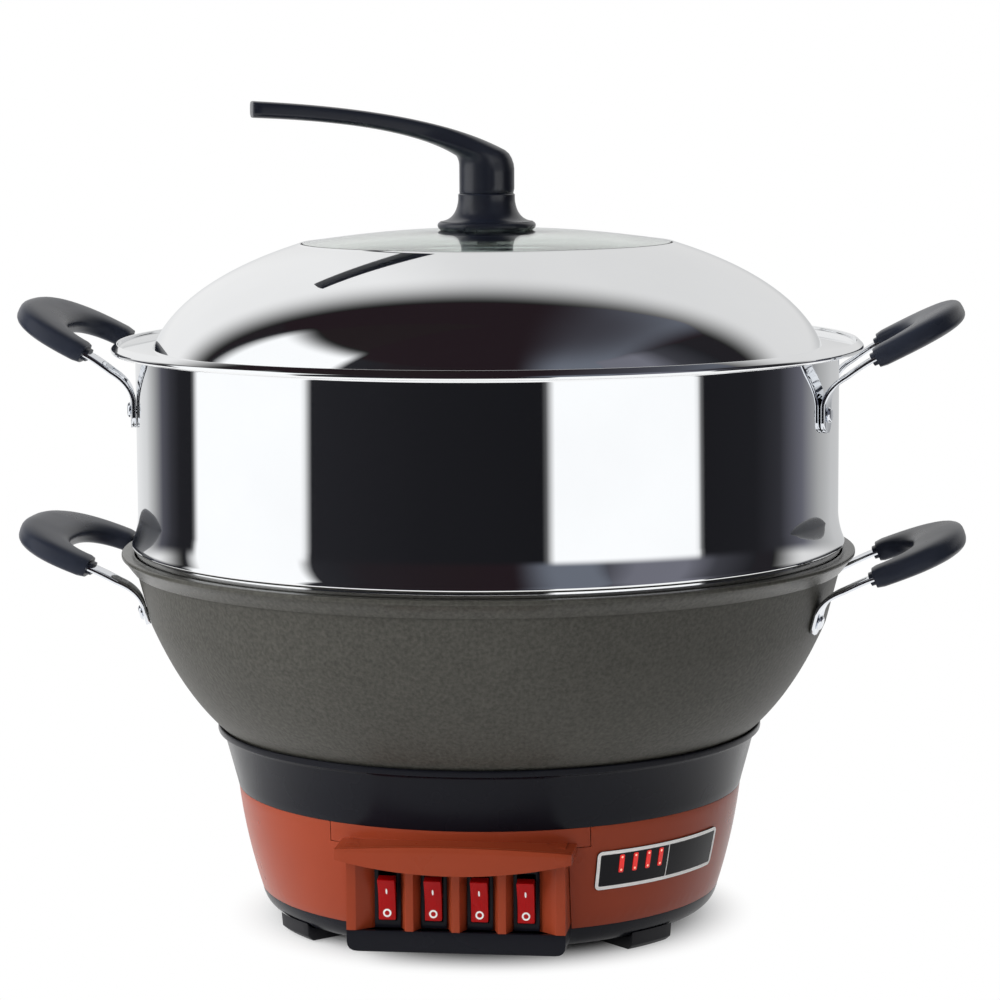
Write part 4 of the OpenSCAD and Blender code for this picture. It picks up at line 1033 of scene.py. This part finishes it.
@dataclass
class CookingPot(Assembly):
    """The cast pot."""

    floor: float = 80
    wall: float = 4
    seat: float = 70
    seat_radii: Point = (100, 112)
    shoulder: float = 150
    band: float = 175.4
    rim: float = 185
    rim_radii: Triple = (182.5, 176.1, 171.5)

    def build(self) -> None:
        """Turn and dress the pot."""
        under, over, step = self.floor, self.floor + self.wall, self.rim - 4
        near, far = self.seat_radii
        skin = bow((88, under), (138.8, under), (168.5, self.shoulder), 40)
        outer = [p for p in skin if p[0] < near - 0.5] + [(near, self.seat), (far, self.seat)]
        outer += [p for p in skin if p[0] > far + 0.5]
        neck = [(175, self.band), (175.2, self.band + 0.5), (176.6, self.band + 0.7)]
        edge, mouth, ledge = self.rim_radii
        rim = [(edge, self.rim - 2.2), (edge, self.rim), (mouth, self.rim), (mouth, step), (ledge, step)]
        inner = bow((165, self.shoulder), (136.35, over), (87, over), 40)
        outline = [(0, under), *outer, *neck, *eased(rim, 0.8), *inner, (0, over)]
        self.keep(Bench.turned("pot_casting", outline, 192, 40), Body.BASE, "cast_pot", "pot")


@dataclass
class SideGrip(Assembly):
    """A bakelite grip on its bent straps, on one side of the pot or the steamer."""

    side: Side
    owner: str
    body: Body
    height: float
    tilt: float
    plate: tuple[Point, Point]
    root: float = 193
    reach: float = 46
    bar: float = 26
    gap: float = 46
    leg: float = 19
    thickness: float = 12
    strap: Point = (12, 2.8)
    strap_turn: float = 15.33
    strap_off: float = 0.06
    straight: int = 12
    bent: int = 14
    tongue: float = 5
    squareness: float = 0.62

    def build(self) -> None:
        """Model and dress the grip and its straps."""
        owner, end = self.owner, self.side.name.lower()
        self.keep(self.handle(f"{owner}_handle_{end}"), self.body, "bakelite", f"{owner}_grip_{end}")
        straps = Bench.joined(f"{owner}_bracket_{end}", [self.bracket(-1), self.bracket(1)])
        self.keep(straps, self.body, "strap_steel", f"{owner}_strap_{end}")

    def track(self) -> list[Point]:
        """Trace the middle of a strap, as distance from the pot's middle and height.

        Returns:
            Points up the straight part on the wall, round the bend and into the grip.
        """
        turn, tilt = math.radians(self.strap_turn), math.radians(self.tilt)
        out = self.strap[1] / 2 + self.strap_off
        foot, head = [Vector((r * math.cos(turn) + out, z)) for r, z in self.plate]
        lean = Vector((math.cos(tilt), math.sin(tilt)))
        entry = Vector((self.root, self.height)) - lean * 2
        start = foot.lerp(head, 0.62)
        arm = (head + Vector((1, 0))).lerp(entry, 0.42)
        run = [tuple(foot.lerp(start, k / self.straight)) for k in range(self.straight + 1)]
        bend = bow(tuple(start), tuple(head + Vector((0.6, 0.5))), tuple(arm), self.bent)
        rise = bow(tuple(arm), tuple(entry - lean * 4), tuple(entry), 8)
        return run + bend[1:] + rise[1:] + [tuple(entry + lean * 12)]

    def bracket(self, sign: int) -> Piece:
        """Skin one strap from its plate on the wall through the bend and into the grip.

        Args:
            sign: Side of the grip's middle on which it lies, as a sign of Y.

        Returns:
            The strap.
        """
        half, thick = self.strap[0] / 2, self.strap[1] / 2
        turn = math.radians(self.strap_turn)
        track = self.track()
        spread = track[self.straight][0] * math.tan(turn)
        rings = []
        for i, (x, z) in enumerate(track):
            before, after = Vector(track[max(i - 1, 0)]), Vector(track[min(i + 1, len(track) - 1)])
            along = (after - before).normalized()
            share = min(1.0, max(0.0, (i - self.straight) / self.bent))
            swing = turn * (1 - share) * sign
            depth = Vector((along.y * math.cos(swing), along.y * math.sin(swing), -along.x)) * thick
            y = self.gap * share + spread * (1 - share) if share > 0 else x * math.tan(turn)
            middle = Vector((x, sign * y, z))
            near_foot = max(0.0, 1 - (z - track[0][1]) / self.tongue)
            narrow = max(math.sqrt(1 - near_foot ** 2), 0.3)
            across = Vector((-math.sin(swing), math.cos(swing), 0)) * half * narrow
            ring = []
            for c, s in directions(28):
                wide = squared(c, 0.3)
                dish = 0.3 * (1 - wide * wide) if s > 0 else 0.0
                ring.append((middle + across * wide + depth * squared(s, 0.6) * (1 - dish)) * MM)
            rings.append(ring)
        return self.sided(Bench.lofted("strap_leg", rings, 50), Matrix())

    def sided(self, piece: Piece, place: Matrix) -> Piece:
        """Put a piece in its place on the right side, or its mirror image on the left, and finish it."""
        Bench.placed(piece, place if self.side is Side.RIGHT else MIRROR_X @ place)
        return Bench.tidy(piece, 50)

    def handle(self, name: str) -> Piece:
        """Skin the grip along its bow.

        Args:
            name: Name of the piece.

        Returns:
            The grip.
        """
        steps = 64
        neck = [(2.4, 0.5), (2.2, 0.6), (0.25, 0.62), (0.05, 0.8)]
        stops = [(-90.0, back, scale) for back, scale in neck]
        stops += [(-90 + 180 * k / steps, 0.0, 0.9 if k in (0, steps) else 1.0) for k in range(steps + 1)]
        stops += [(90.0, back, scale) for back, scale in reversed(neck)]
        rings = []
        for turn, back, scale in stops:
            outer = ear(self.reach, self.gap + self.leg / 2, turn)
            inner = ear(self.reach - self.bar, self.gap - self.leg / 2, turn)
            middle, across = (outer + inner) / 2, (outer - inner) / 2
            thick = self.thickness / 2 * (0.86 + 0.14 * math.cos(math.radians(turn)))
            ring = []
            for c, s in directions(32):
                spot = middle + across * squared(c, self.squareness) * scale
                high = thick * squared(s, self.squareness) * scale
                ring.append(Vector((spot.x - back, spot.y, high)) * MM)
            rings.append(ring)
        place = Matrix.Translation(Vector((self.root, 0, self.height)) * MM)
        place = place @ Matrix.Rotation(-math.radians(self.tilt), 4, "Y")
        return self.sided(Bench.lofted(name, rings, 50), place)


@dataclass
class SteamerTier(Assembly):
    """Polished steamer with its rolled rim."""

    radius: float = 174
    sheet: float = 0.8
    ledge: float = 181
    flange: float = 285.4
    rim: float = 186
    bead: float = 1.5
    bead_slope: float = 46
    neck_height: float = 6.4
    neck_out: float = 1.6
    bulge_out: float = 3.2

    def build(self) -> None:
        """Turn and dress the steamer."""
        r, s, z, top, edge = self.radius, self.sheet, self.ledge, self.flange, self.rim
        neck, throat, bulge = z + self.neck_height, r + self.neck_out, r + self.bulge_out
        outer = [(r - 1.4, z), (throat - 0.3, z), (throat, z + 0.4), (throat, neck)]
        outer += [(bulge - 0.2, neck + 0.7), (bulge, neck + 1.1)]
        outer += bow((bulge, neck + 2), (r + 0.4, neck + 8), (r, neck + 16), 10)
        outer += bow((r, top - 3.4), (r + 0.05, top - 1), (r + 2.6, top - s), 8)
        curl = arc((edge - self.bead, top), self.bead, -138, self.bead_slope, 20)
        curl += arc((edge - 2.96, top + 2.8), 0.5, self.bead_slope, 180, 14)
        curl += bow((edge - 3.46, top + 2.5), (edge - 3.5, top), (edge - 5, top), 6)
        inner = bow((r + 2.3, top), (r - 0.6, top - 0.6), (r - s, top - 5), 10)
        inner += bow((r - s, neck + 16), (r - 0.4, neck + 8), (bulge - s, neck + 1.9), 10)
        inner += [(bulge - s, neck + 1.3), (throat - s, neck + 0.4), (throat - s, z + s), (r - 1.4, z + s)]
        wall = Bench.turned("steamer_pressing", outer + curl + inner, 256, 50)
        self.keep(wall, Body.STEAMER, "mirror_steel", "steamer_body")


@dataclass
class Lid(Assembly):
    """Domed lid with its glass, collar and long arm."""

    flange: float = 285.4
    frame_height: float = 336.2
    frame_radius: float = 93
    foot_radius: float = 165.5
    brim_radius: float = 180.6
    sheet: float = 0.8
    glass_radius: float = 91.2
    glass_top: float = 342.5
    glass_thickness: float = 4
    glass_bore: float = 5
    collar_bore: float = 2.55
    post_foot: float = 360.5
    post_height: float = 18
    post_radius: float = 13.4
    arm_turn: float = 198
    arm_tip: Point = (116, 406.5)
    arm_width: float = 17
    tip_height: float = 8.2

    def build(self) -> None:
        """Model and dress the lid."""
        self.build_dome()
        self.build_glass()
        self.build_collar()
        self.build_handle()

    def build_dome(self) -> None:
        """Turn the dome with its flat brim."""
        z, brim, top = self.flange, self.flange + self.sheet, self.frame_height
        eye, foot, rim = self.frame_radius, self.foot_radius, self.brim_radius
        bead = arc((eye - 0.4, top - 0.3), 0.55, 215, 75, 12)
        outer = bow((eye, top), (151, top - 18.2), (foot, brim), 64)
        edge = [(rim - 0.4, brim), (rim - 0.1, brim - 0.1), (rim, brim - 0.4)]
        edge += [(rim - 0.1, z + 0.1), (rim - 0.4, z)]
        inner = bow((foot - self.sheet, z), (150.44, top - 18.92), (eye, top - 0.96), 64)
        dome = Bench.turned("dome_pressing", bead + outer + edge + inner, 256, 50)
        self.keep(dome, Body.LID, "mirror_steel", "lid_dome")

    def build_glass(self) -> None:
        """Turn the glass window."""
        edge, bore, high = self.glass_radius, self.glass_bore, self.glass_top
        low, mid = self.frame_height - 3.7, high - self.glass_thickness
        top = bow((edge, low + self.glass_thickness), (0.55 * edge, high), (26, high), 32)
        under = bow((26, mid), (0.55 * edge, mid), (edge, low), 32)
        outline = [*top, (bore, high), (bore, mid), *under]
        self.keep(Bench.turned("window", outline, 192, 30), Body.LID, "window_glass", "lid_glass")

    def build_collar(self) -> None:
        """Turn the flared collar under the post."""
        foot, top, bore = self.glass_top, self.post_foot, self.collar_bore
        lip = arc((22.4, foot + 2.2), 1.9, -60, 75, 10)
        flare = bow((23, foot + 4.2), (15, foot + 5), (14, top - 3), 14)
        head = [(14, top - 0.6), (self.post_radius, top), (bore, top)]
        collar = Bench.turned("collar_moulding", [(bore, foot), (22.8, foot), *lip, *flare, *head], 96, 40)
        self.keep(collar, Body.LID, "bakelite", "handle_collar", finish="lid_bakelite")

    def build_handle(self) -> None:
        """Skin the post and the arm as one, with a raised half at the back of the post."""
        foot, r = self.post_foot, self.post_radius
        top = foot + self.post_height
        tip_x, tip_z = self.arm_tip
        parts, post_parts = 34, 6
        rings = [self.post_ring(foot + up, r - inset) for up, inset in ((0, 0.5), (0.15, 0.15), (0.5, 0))]
        rise = (self.post_height - 6.5) / post_parts
        rings += [self.post_ring(foot + 0.5 + rise * k, r, 0.4) for k in range(1, post_parts + 1)]
        upper = bow((-r + 4.4, top + 3.2), (28, tip_z - 4.7), (tip_x, tip_z), parts)
        lower = bow((r + 1.2, top + 0.4), (40, tip_z - 11.2), (tip_x, tip_z - self.tip_height), parts)
        bend = [((-r - 0.1, top - 3.6), (r, top - 4.2)), ((-r + 0.9, top - 0.8), (r + 0.1, top - 2.6)),
                ((-r + 2.4, top + 1.6), (r + 0.5, top - 1.0))]
        for k, (high, low) in enumerate(bend):
            rings.append(self.arm_ring(high, low, r, 1.0 - 0.05 * k))
        for k, (high, low) in enumerate(zip(upper, lower)):
            ease = min(1.0, k / 12)
            ease = ease * ease * (3 - 2 * ease)
            wide = r + (self.arm_width / 2 - r) * ease - 0.9 * k / parts
            rings.append(self.arm_ring(high, low, wide, 0.85 - 0.33 * ease))
        middle = Vector((tip_x, 0, tip_z - self.tip_height / 2)) * MM
        last = rings.pop()
        rings.append([p - Vector((0.7 * MM, 0, 0)) for p in last])
        for out, scale in ((0.2, 0.95), (0.0, 0.8)):
            rings.append([middle + (p - middle) * scale - Vector((out * MM, 0, 0)) for p in last])
        whole = Bench.lofted("handle_moulding", rings, 45)
        Bench.placed(whole, Matrix.Rotation(math.radians(self.arm_turn), 4, "Z"))
        self.keep(Bench.tidy(whole, 45), Body.LID, "bakelite", "lid_handle", finish="lid_bakelite")

    @staticmethod
    def post_ring(height: float, radius: float, step: float = 0.0) -> list[Vector]:
        """Give one round section of the post, with its back half standing out by a step.

        Args:
            height: Height of the section.
            radius: Radius of its front half.
            step: How far its back half stands out.

        Returns:
            The section's corners, in metres.
        """
        ring = []
        for c, s in directions(64):
            r = radius + (step if s > 0.04 else 0.0)
            ring.append(Vector((-r * s, r * c, height)) * MM)
        return ring

    @staticmethod
    def arm_ring(high: Point, low: Point, wide: float, power: float) -> list[Vector]:
        """Give one section of the arm, between an oval and a rounded block.

        Args:
            high: Point of its upper edge.
            low: Point of its lower edge.
            wide: Half its width.
            power: Squareness, where 1 is a plain oval.

        Returns:
            The section's corners, in metres.
        """
        top, bottom = Vector((high[0], 0, high[1])), Vector((low[0], 0, low[1]))
        middle, up = (top + bottom) / 2, (top - bottom) / 2
        ring = []
        for c, s in directions(64):
            across = Vector((0, wide * squared(c, power), 0))
            ring.append((middle + up * squared(s, power) + across) * MM)
        return ring


@dataclass
class Rivets(Assembly):
    """Rivets of the straps, with domed heads."""

    def build(self) -> None:
        """Recut and dress the rivets."""
        for owner, body in (("pot", Body.BASE), ("steamer", Body.STEAMER)):
            self.recast(f"{owner}_rivets", f"{owner}_rivet_heads", body, "strap_steel", 0.6, 3)


@dataclass
class RearInlet(Assembly):
    """Mains inlet at the back, with its cross-headed screws."""

    screw_gap: float = 40
    slot_width: float = 0.8
    slot_depth: float = 0.7
    slot_length: float = 4.2

    def build(self) -> None:
        """Recut and dress the inlet and its screws."""
        self.recast("mains_inlet", "inlet_moulding", Body.BASE, "black_plastic", 0.5, 3)
        heads = Bench.recut("inlet_screws", "inlet_screw_heads", 0.35, 3)
        face = max(vertex.co.y for vertex in heads.data.vertices)
        levels = [vertex.co.z for vertex in heads.data.vertices]
        middle = (min(levels) + max(levels)) / 2
        for side in (-1, 1):
            for size in ((self.slot_width, self.slot_length), (self.slot_length, self.slot_width)):
                self.cut_slot(heads, (side * self.screw_gap / 2 * MM, face, middle), size)
        Bench.shade(heads)
        self.keep(heads, Body.BASE, "zinc_steel", "inlet_screws")

    def cut_slot(self, heads: Piece, place: Triple, size: Point) -> None:
        """Cut one slot of a cross into a screw's head.

        Args:
            heads: Screws to cut.
            place: Middle of the head's face, in metres.
            size: Width and height of the slot, in millimetres.
        """
        Bench.clear()
        scale = (size[0], 2 * self.slot_depth, size[1])
        bpy.ops.mesh.primitive_cube_add(size=MM, location=place, scale=scale)
        cutter = bpy.context.object
        Bench.modify(heads, "BOOLEAN", object=cutter, operation="DIFFERENCE")
        bpy.data.objects.remove(cutter)


@dataclass(frozen=True)
class Studio:
    """Floor, light and camera."""

    image_px: float = 1000
    sensor: float = 36
    lens: float = 122.4
    distance: float = 1.685
    height: float = 0.420
    azimuth: float = 7.5
    pitch: float = 7.18
    roll: float = -0.29
    axis_px: float = 488.1
    floor_radius: float = 0.95
    floor_level: float = -0.0005
    floor_fade: Point = (0.085, 0.135)
    key: Triple = (-0.91, -0.24, 0.34)
    key_level: float = 3.6
    key_focus: float = 4.0
    fill: Point = (0.27, 0.42)
    dusk: tuple[float, ...] = (0.017, 0.011, 0.014, 1.0)
    halo: tuple[float, ...] = (0.14, 0.155, 0.19, 1.0)
    white: tuple[float, ...] = (1.0, 1.0, 1.0, 1.0)
    # Brightness of the surroundings by direction, in degrees from the camera's side, with the left negative
    low_ring: tuple[Point, ...] = (
        (-180, 0.7), (-168, 0.83), (-156, 0.77), (-147, 0.69), (-139, 0.41), (-131, 0.09), (-124, 0.037),
        (-118, 0.016), (-110, 0.014), (-107, 1.06), (-61, 1.06), (-58, 0.016), (-20, 0.012), (18, 0.010),
        (21, 1.06), (70, 1.06), (72, 0.012), (95, 0.014), (108, 0.03), (122, 0.13), (136, 0.4), (150, 0.55),
        (165, 0.58), (180, 0.7))
    high_ring: tuple[Point, ...] = (
        (-180, 0.014), (-114, 0.014), (-107, 1.06), (-63, 1.06), (-58, 0.02), (-40, 0.014), (18, 0.010),
        (34, 0.04), (48, 0.16), (66, 0.17), (78, 0.05), (95, 0.016), (180, 0.014))

    def build(self) -> None:
        """Set up floor, light and camera."""
        bpy.context.scene.view_settings.view_transform = "Standard"
        self.build_floor()
        self.build_world()
        self.build_camera()

    def build_floor(self) -> None:
        """Lay a pale round floor that fades into the white background."""
        Bench.clear()
        bpy.ops.mesh.primitive_circle_add(vertices=128, radius=self.floor_radius, fill_type="NGON",
                                          location=(0, 0, self.floor_level))
        floor = bpy.context.object
        floor.name = "floor"
        n = Nodes("floor_paint")
        n.tint(n.noise(3, 2), [(0.0, (0.89, 0.89, 0.89)), (1.0, (0.91, 0.91, 0.91))])
        n.fix(Roughness=0.8, Specular_IOR_Level=0.1)
        white = n.add("ShaderNodeEmission", Strength=1.0)
        path = n.add("ShaderNodeLightPath")
        seen = n.add("ShaderNodeMath", operation="MAXIMUM")
        n.link(path, "Is Camera Ray", seen, 0)
        n.link(path, "Is Glossy Ray", seen, 1)
        length = n.add("ShaderNodeVectorMath", operation="LENGTH")
        n.link(n.place, "Object", length, 0)
        fade = n.add("ShaderNodeMapRange", interpolation_type="SMOOTHSTEP")
        set_range(fade, *self.floor_fade, 0.0, 1.0)
        n.link(length, "Value", fade, "Value")
        share = n.add("ShaderNodeMath", operation="MULTIPLY")
        n.link(seen, 0, share, 0)
        n.link(fade, "Result", share, 1)
        mix = n.add("ShaderNodeMixShader")
        n.link(share, 0, mix, 0)
        n.link(n.shader, "BSDF", mix, 1)
        n.link(white, "Emission", mix, 2)
        n.link(mix, "Shader", n.output, "Surface")
        floor.data.materials.append(n.material)

    def build_world(self) -> None:
        """Light the scene from panels round the pot, a pale wall behind it and a key light on the left."""
        world = bpy.data.worlds.new("studio")
        bpy.context.scene.world = world
        world.use_nodes = True
        tree = world.node_tree
        tree.nodes.clear()

        def feed(socket: bpy.types.NodeSocket, value: object) -> None:
            """Set a socket to a constant or join it to an output.

            Args:
                socket: Input to fill.
                value: Constant, or the output to join.
            """
            if isinstance(value, (int, float, tuple)):
                socket.default_value = value
            else:
                tree.links.new(value, socket)

        def maths(operation: str, first: object, second: object = 0.0) -> bpy.types.NodeSocket:
            """Work out one sum on values or sockets.

            Args:
                operation: Name of the sum.
                first: Value or output.
                second: Value or output.

            Returns:
                The output with the result.
            """
            node = new_node(tree, "ShaderNodeMath", operation=operation)
            feed(node.inputs[0], first)
            feed(node.inputs[1], second)
            return node.outputs[0]

        def blend(factor: object, first: object, second: object, kind: str = "MIX") -> bpy.types.NodeSocket:
            """Blend two colours by a factor.

            Args:
                factor: Share of the second colour.
                first: Colour or output.
                second: Colour or output.
                kind: Way of blending.

            Returns:
                The output with the colour.
            """
            node = new_node(tree, "ShaderNodeMix", data_type="RGBA", blend_type=kind)
            feed(node.inputs[0], factor)
            feed(node.inputs[6], first)
            feed(node.inputs[7], second)
            return node.outputs[2]

        def step(value: object, first: float, last: float,
                 low: float = 0.0, high: float = 1.0) -> bpy.types.NodeSocket:
            """Pass smoothly from low to high between a first and a last value.

            Args:
                value: Output to follow.
                first: Value where the result is low.
                last: Value where the result is high.
                low: Result before the first value.
                high: Result after the last value.

            Returns:
                The output with the result.
            """
            node = new_node(tree, "ShaderNodeMapRange", interpolation_type="SMOOTHSTEP")
            set_range(node, first, last, low, high)
            feed(node.inputs["Value"], value)
            return node.outputs["Result"]

        def ring(share: object, levels: tuple[Point, ...]) -> bpy.types.NodeSocket:
            """Look up the surroundings by direction round the pot, with bluish darks.

            Args:
                share: Output with the direction as a share of a turn.
                levels: Directions in degrees with their brightness.

            Returns:
                The output with the colour.
            """
            node = new_node(tree, "ShaderNodeValToRGB")
            tints = [(v * 0.98, v * 0.99, v if v > 0.3 else v * 1.2) for _, v in levels]
            set_stops(node, [((angle + 180) / 360, tint) for (angle, _), tint in zip(levels, tints)])
            feed(node.inputs[0], share)
            return node.outputs["Color"]

        place = new_node(tree, "ShaderNodeTexCoord")
        back_turn = math.radians(-self.azimuth)
        turn = new_node(tree, "ShaderNodeVectorRotate", rotation_type="Z_AXIS", Angle=back_turn)
        tree.links.new(place.outputs["Generated"], turn.inputs["Vector"])
        split = new_node(tree, "ShaderNodeSeparateXYZ")
        tree.links.new(turn.outputs[0], split.inputs[0])
        x, y, z = split.outputs
        around = maths("ARCTAN2", x, maths("MULTIPLY", y, -1.0))
        share = maths("ADD", maths("DIVIDE", around, 2 * math.pi), 0.5)
        skewed = maths("ADD", y, maths("MULTIPLY", x, 0.1))
        wall = maths("MULTIPLY", step(skewed, 0.30, 0.62), step(x, -0.22, 0.0, 0.88, 0.74))
        reach = step(z, math.sin(math.radians(47)), math.sin(math.radians(57)), 1.0, 0.012)
        panels = blend(1.0, ring(share, self.high_ring), reach, "MULTIPLY")
        strip = maths("MULTIPLY", step(x, 0.12, 0.36), step(x, 0.52, 0.68, 1.0, 0.0))
        halo = blend(maths("MULTIPLY", strip, step(z, 0.70, 0.97, 1.0, 0.2)), self.dusk, self.halo)
        upper = blend(1.0, blend(1.0, panels, wall, "LIGHTEN"), halo, "LIGHTEN")
        mirrored = blend(step(z, 0.0, math.sin(math.radians(9))), ring(share, self.low_ring), upper)
        along_x, along_y, along_z = (maths("MULTIPLY", a, b) for a, b in zip((x, y, z), self.key))
        lobe = maths("ADD", along_x, maths("ADD", along_y, along_z))
        beam = maths("POWER", maths("MAXIMUM", lobe, 0.0), self.key_focus)
        glow = maths("MULTIPLY", beam, self.key_level)
        filled = maths("ADD", glow, step(z, -0.5, 0.8, *self.fill))
        path = new_node(tree, "ShaderNodeLightPath")
        direct = blend(path.outputs["Is Glossy Ray"], filled, mirrored)
        clear = maths("MAXIMUM", path.outputs["Is Camera Ray"], path.outputs["Is Transmission Ray"])
        back = new_node(tree, "ShaderNodeBackground")
        feed(back.inputs["Color"], blend(clear, direct, self.white))
        out = new_node(tree, "ShaderNodeOutputWorld")
        tree.links.new(back.outputs[0], out.inputs["Surface"])

    def build_camera(self) -> None:
        """Stand the camera where the photograph was taken from."""
        data = bpy.data.cameras.new("camera")
        data.lens, data.sensor_width, data.clip_end = self.lens, self.sensor, 50
        camera = bpy.data.objects.new("camera", data)
        bpy.context.scene.collection.objects.link(camera)
        turn = math.radians(self.azimuth)
        swing = math.atan((0.5 - self.axis_px / self.image_px) * self.sensor / self.lens)
        place = Matrix.Translation((0, -self.distance, self.height))
        aim = Matrix.Rotation(-swing, 4, "Z") @ Matrix.Rotation(math.radians(90 - self.pitch), 4, "X")
        stand = Matrix.Rotation(turn, 4, "Z") @ place @ aim
        camera.matrix_world = stand @ Matrix.Rotation(math.radians(self.roll), 4, "Z")
        bpy.context.scene.camera = camera


def dress_nodes(finishes: Finishes) -> None:
    """Give every node of the frame its finish, seen or not."""
    for entry in frame["record"]["subparts"]:
        finishes.dress_node(entry["node"], entry["material_slot"])


def main() -> None:
    """Build the scene."""
    logging.basicConfig(level=logging.INFO, format="%(name)s: %(message)s")
    finishes = Finishes()
    dress_nodes(finishes)
    BaseUnit(finishes).build()
    ControlBox(finishes).build()
    IndicatorPlate(finishes).build()
    CookingPot(finishes).build()
    for side in Side:
        SideGrip(finishes, side, "pot", Body.BASE, 178, 20.5, ((168.5, 150), (172.85, 167))).build()
        SideGrip(finishes, side, "steamer", Body.STEAMER, 283.9, 27, ((174, 247.9), (174, 268.9))).build()
    SteamerTier(finishes).build()
    Lid(finishes).build()
    Rivets(finishes).build()
    RearInlet(finishes).build()
    Studio().build()
    Bench.clear()


if __name__ == "__main__":
    main()
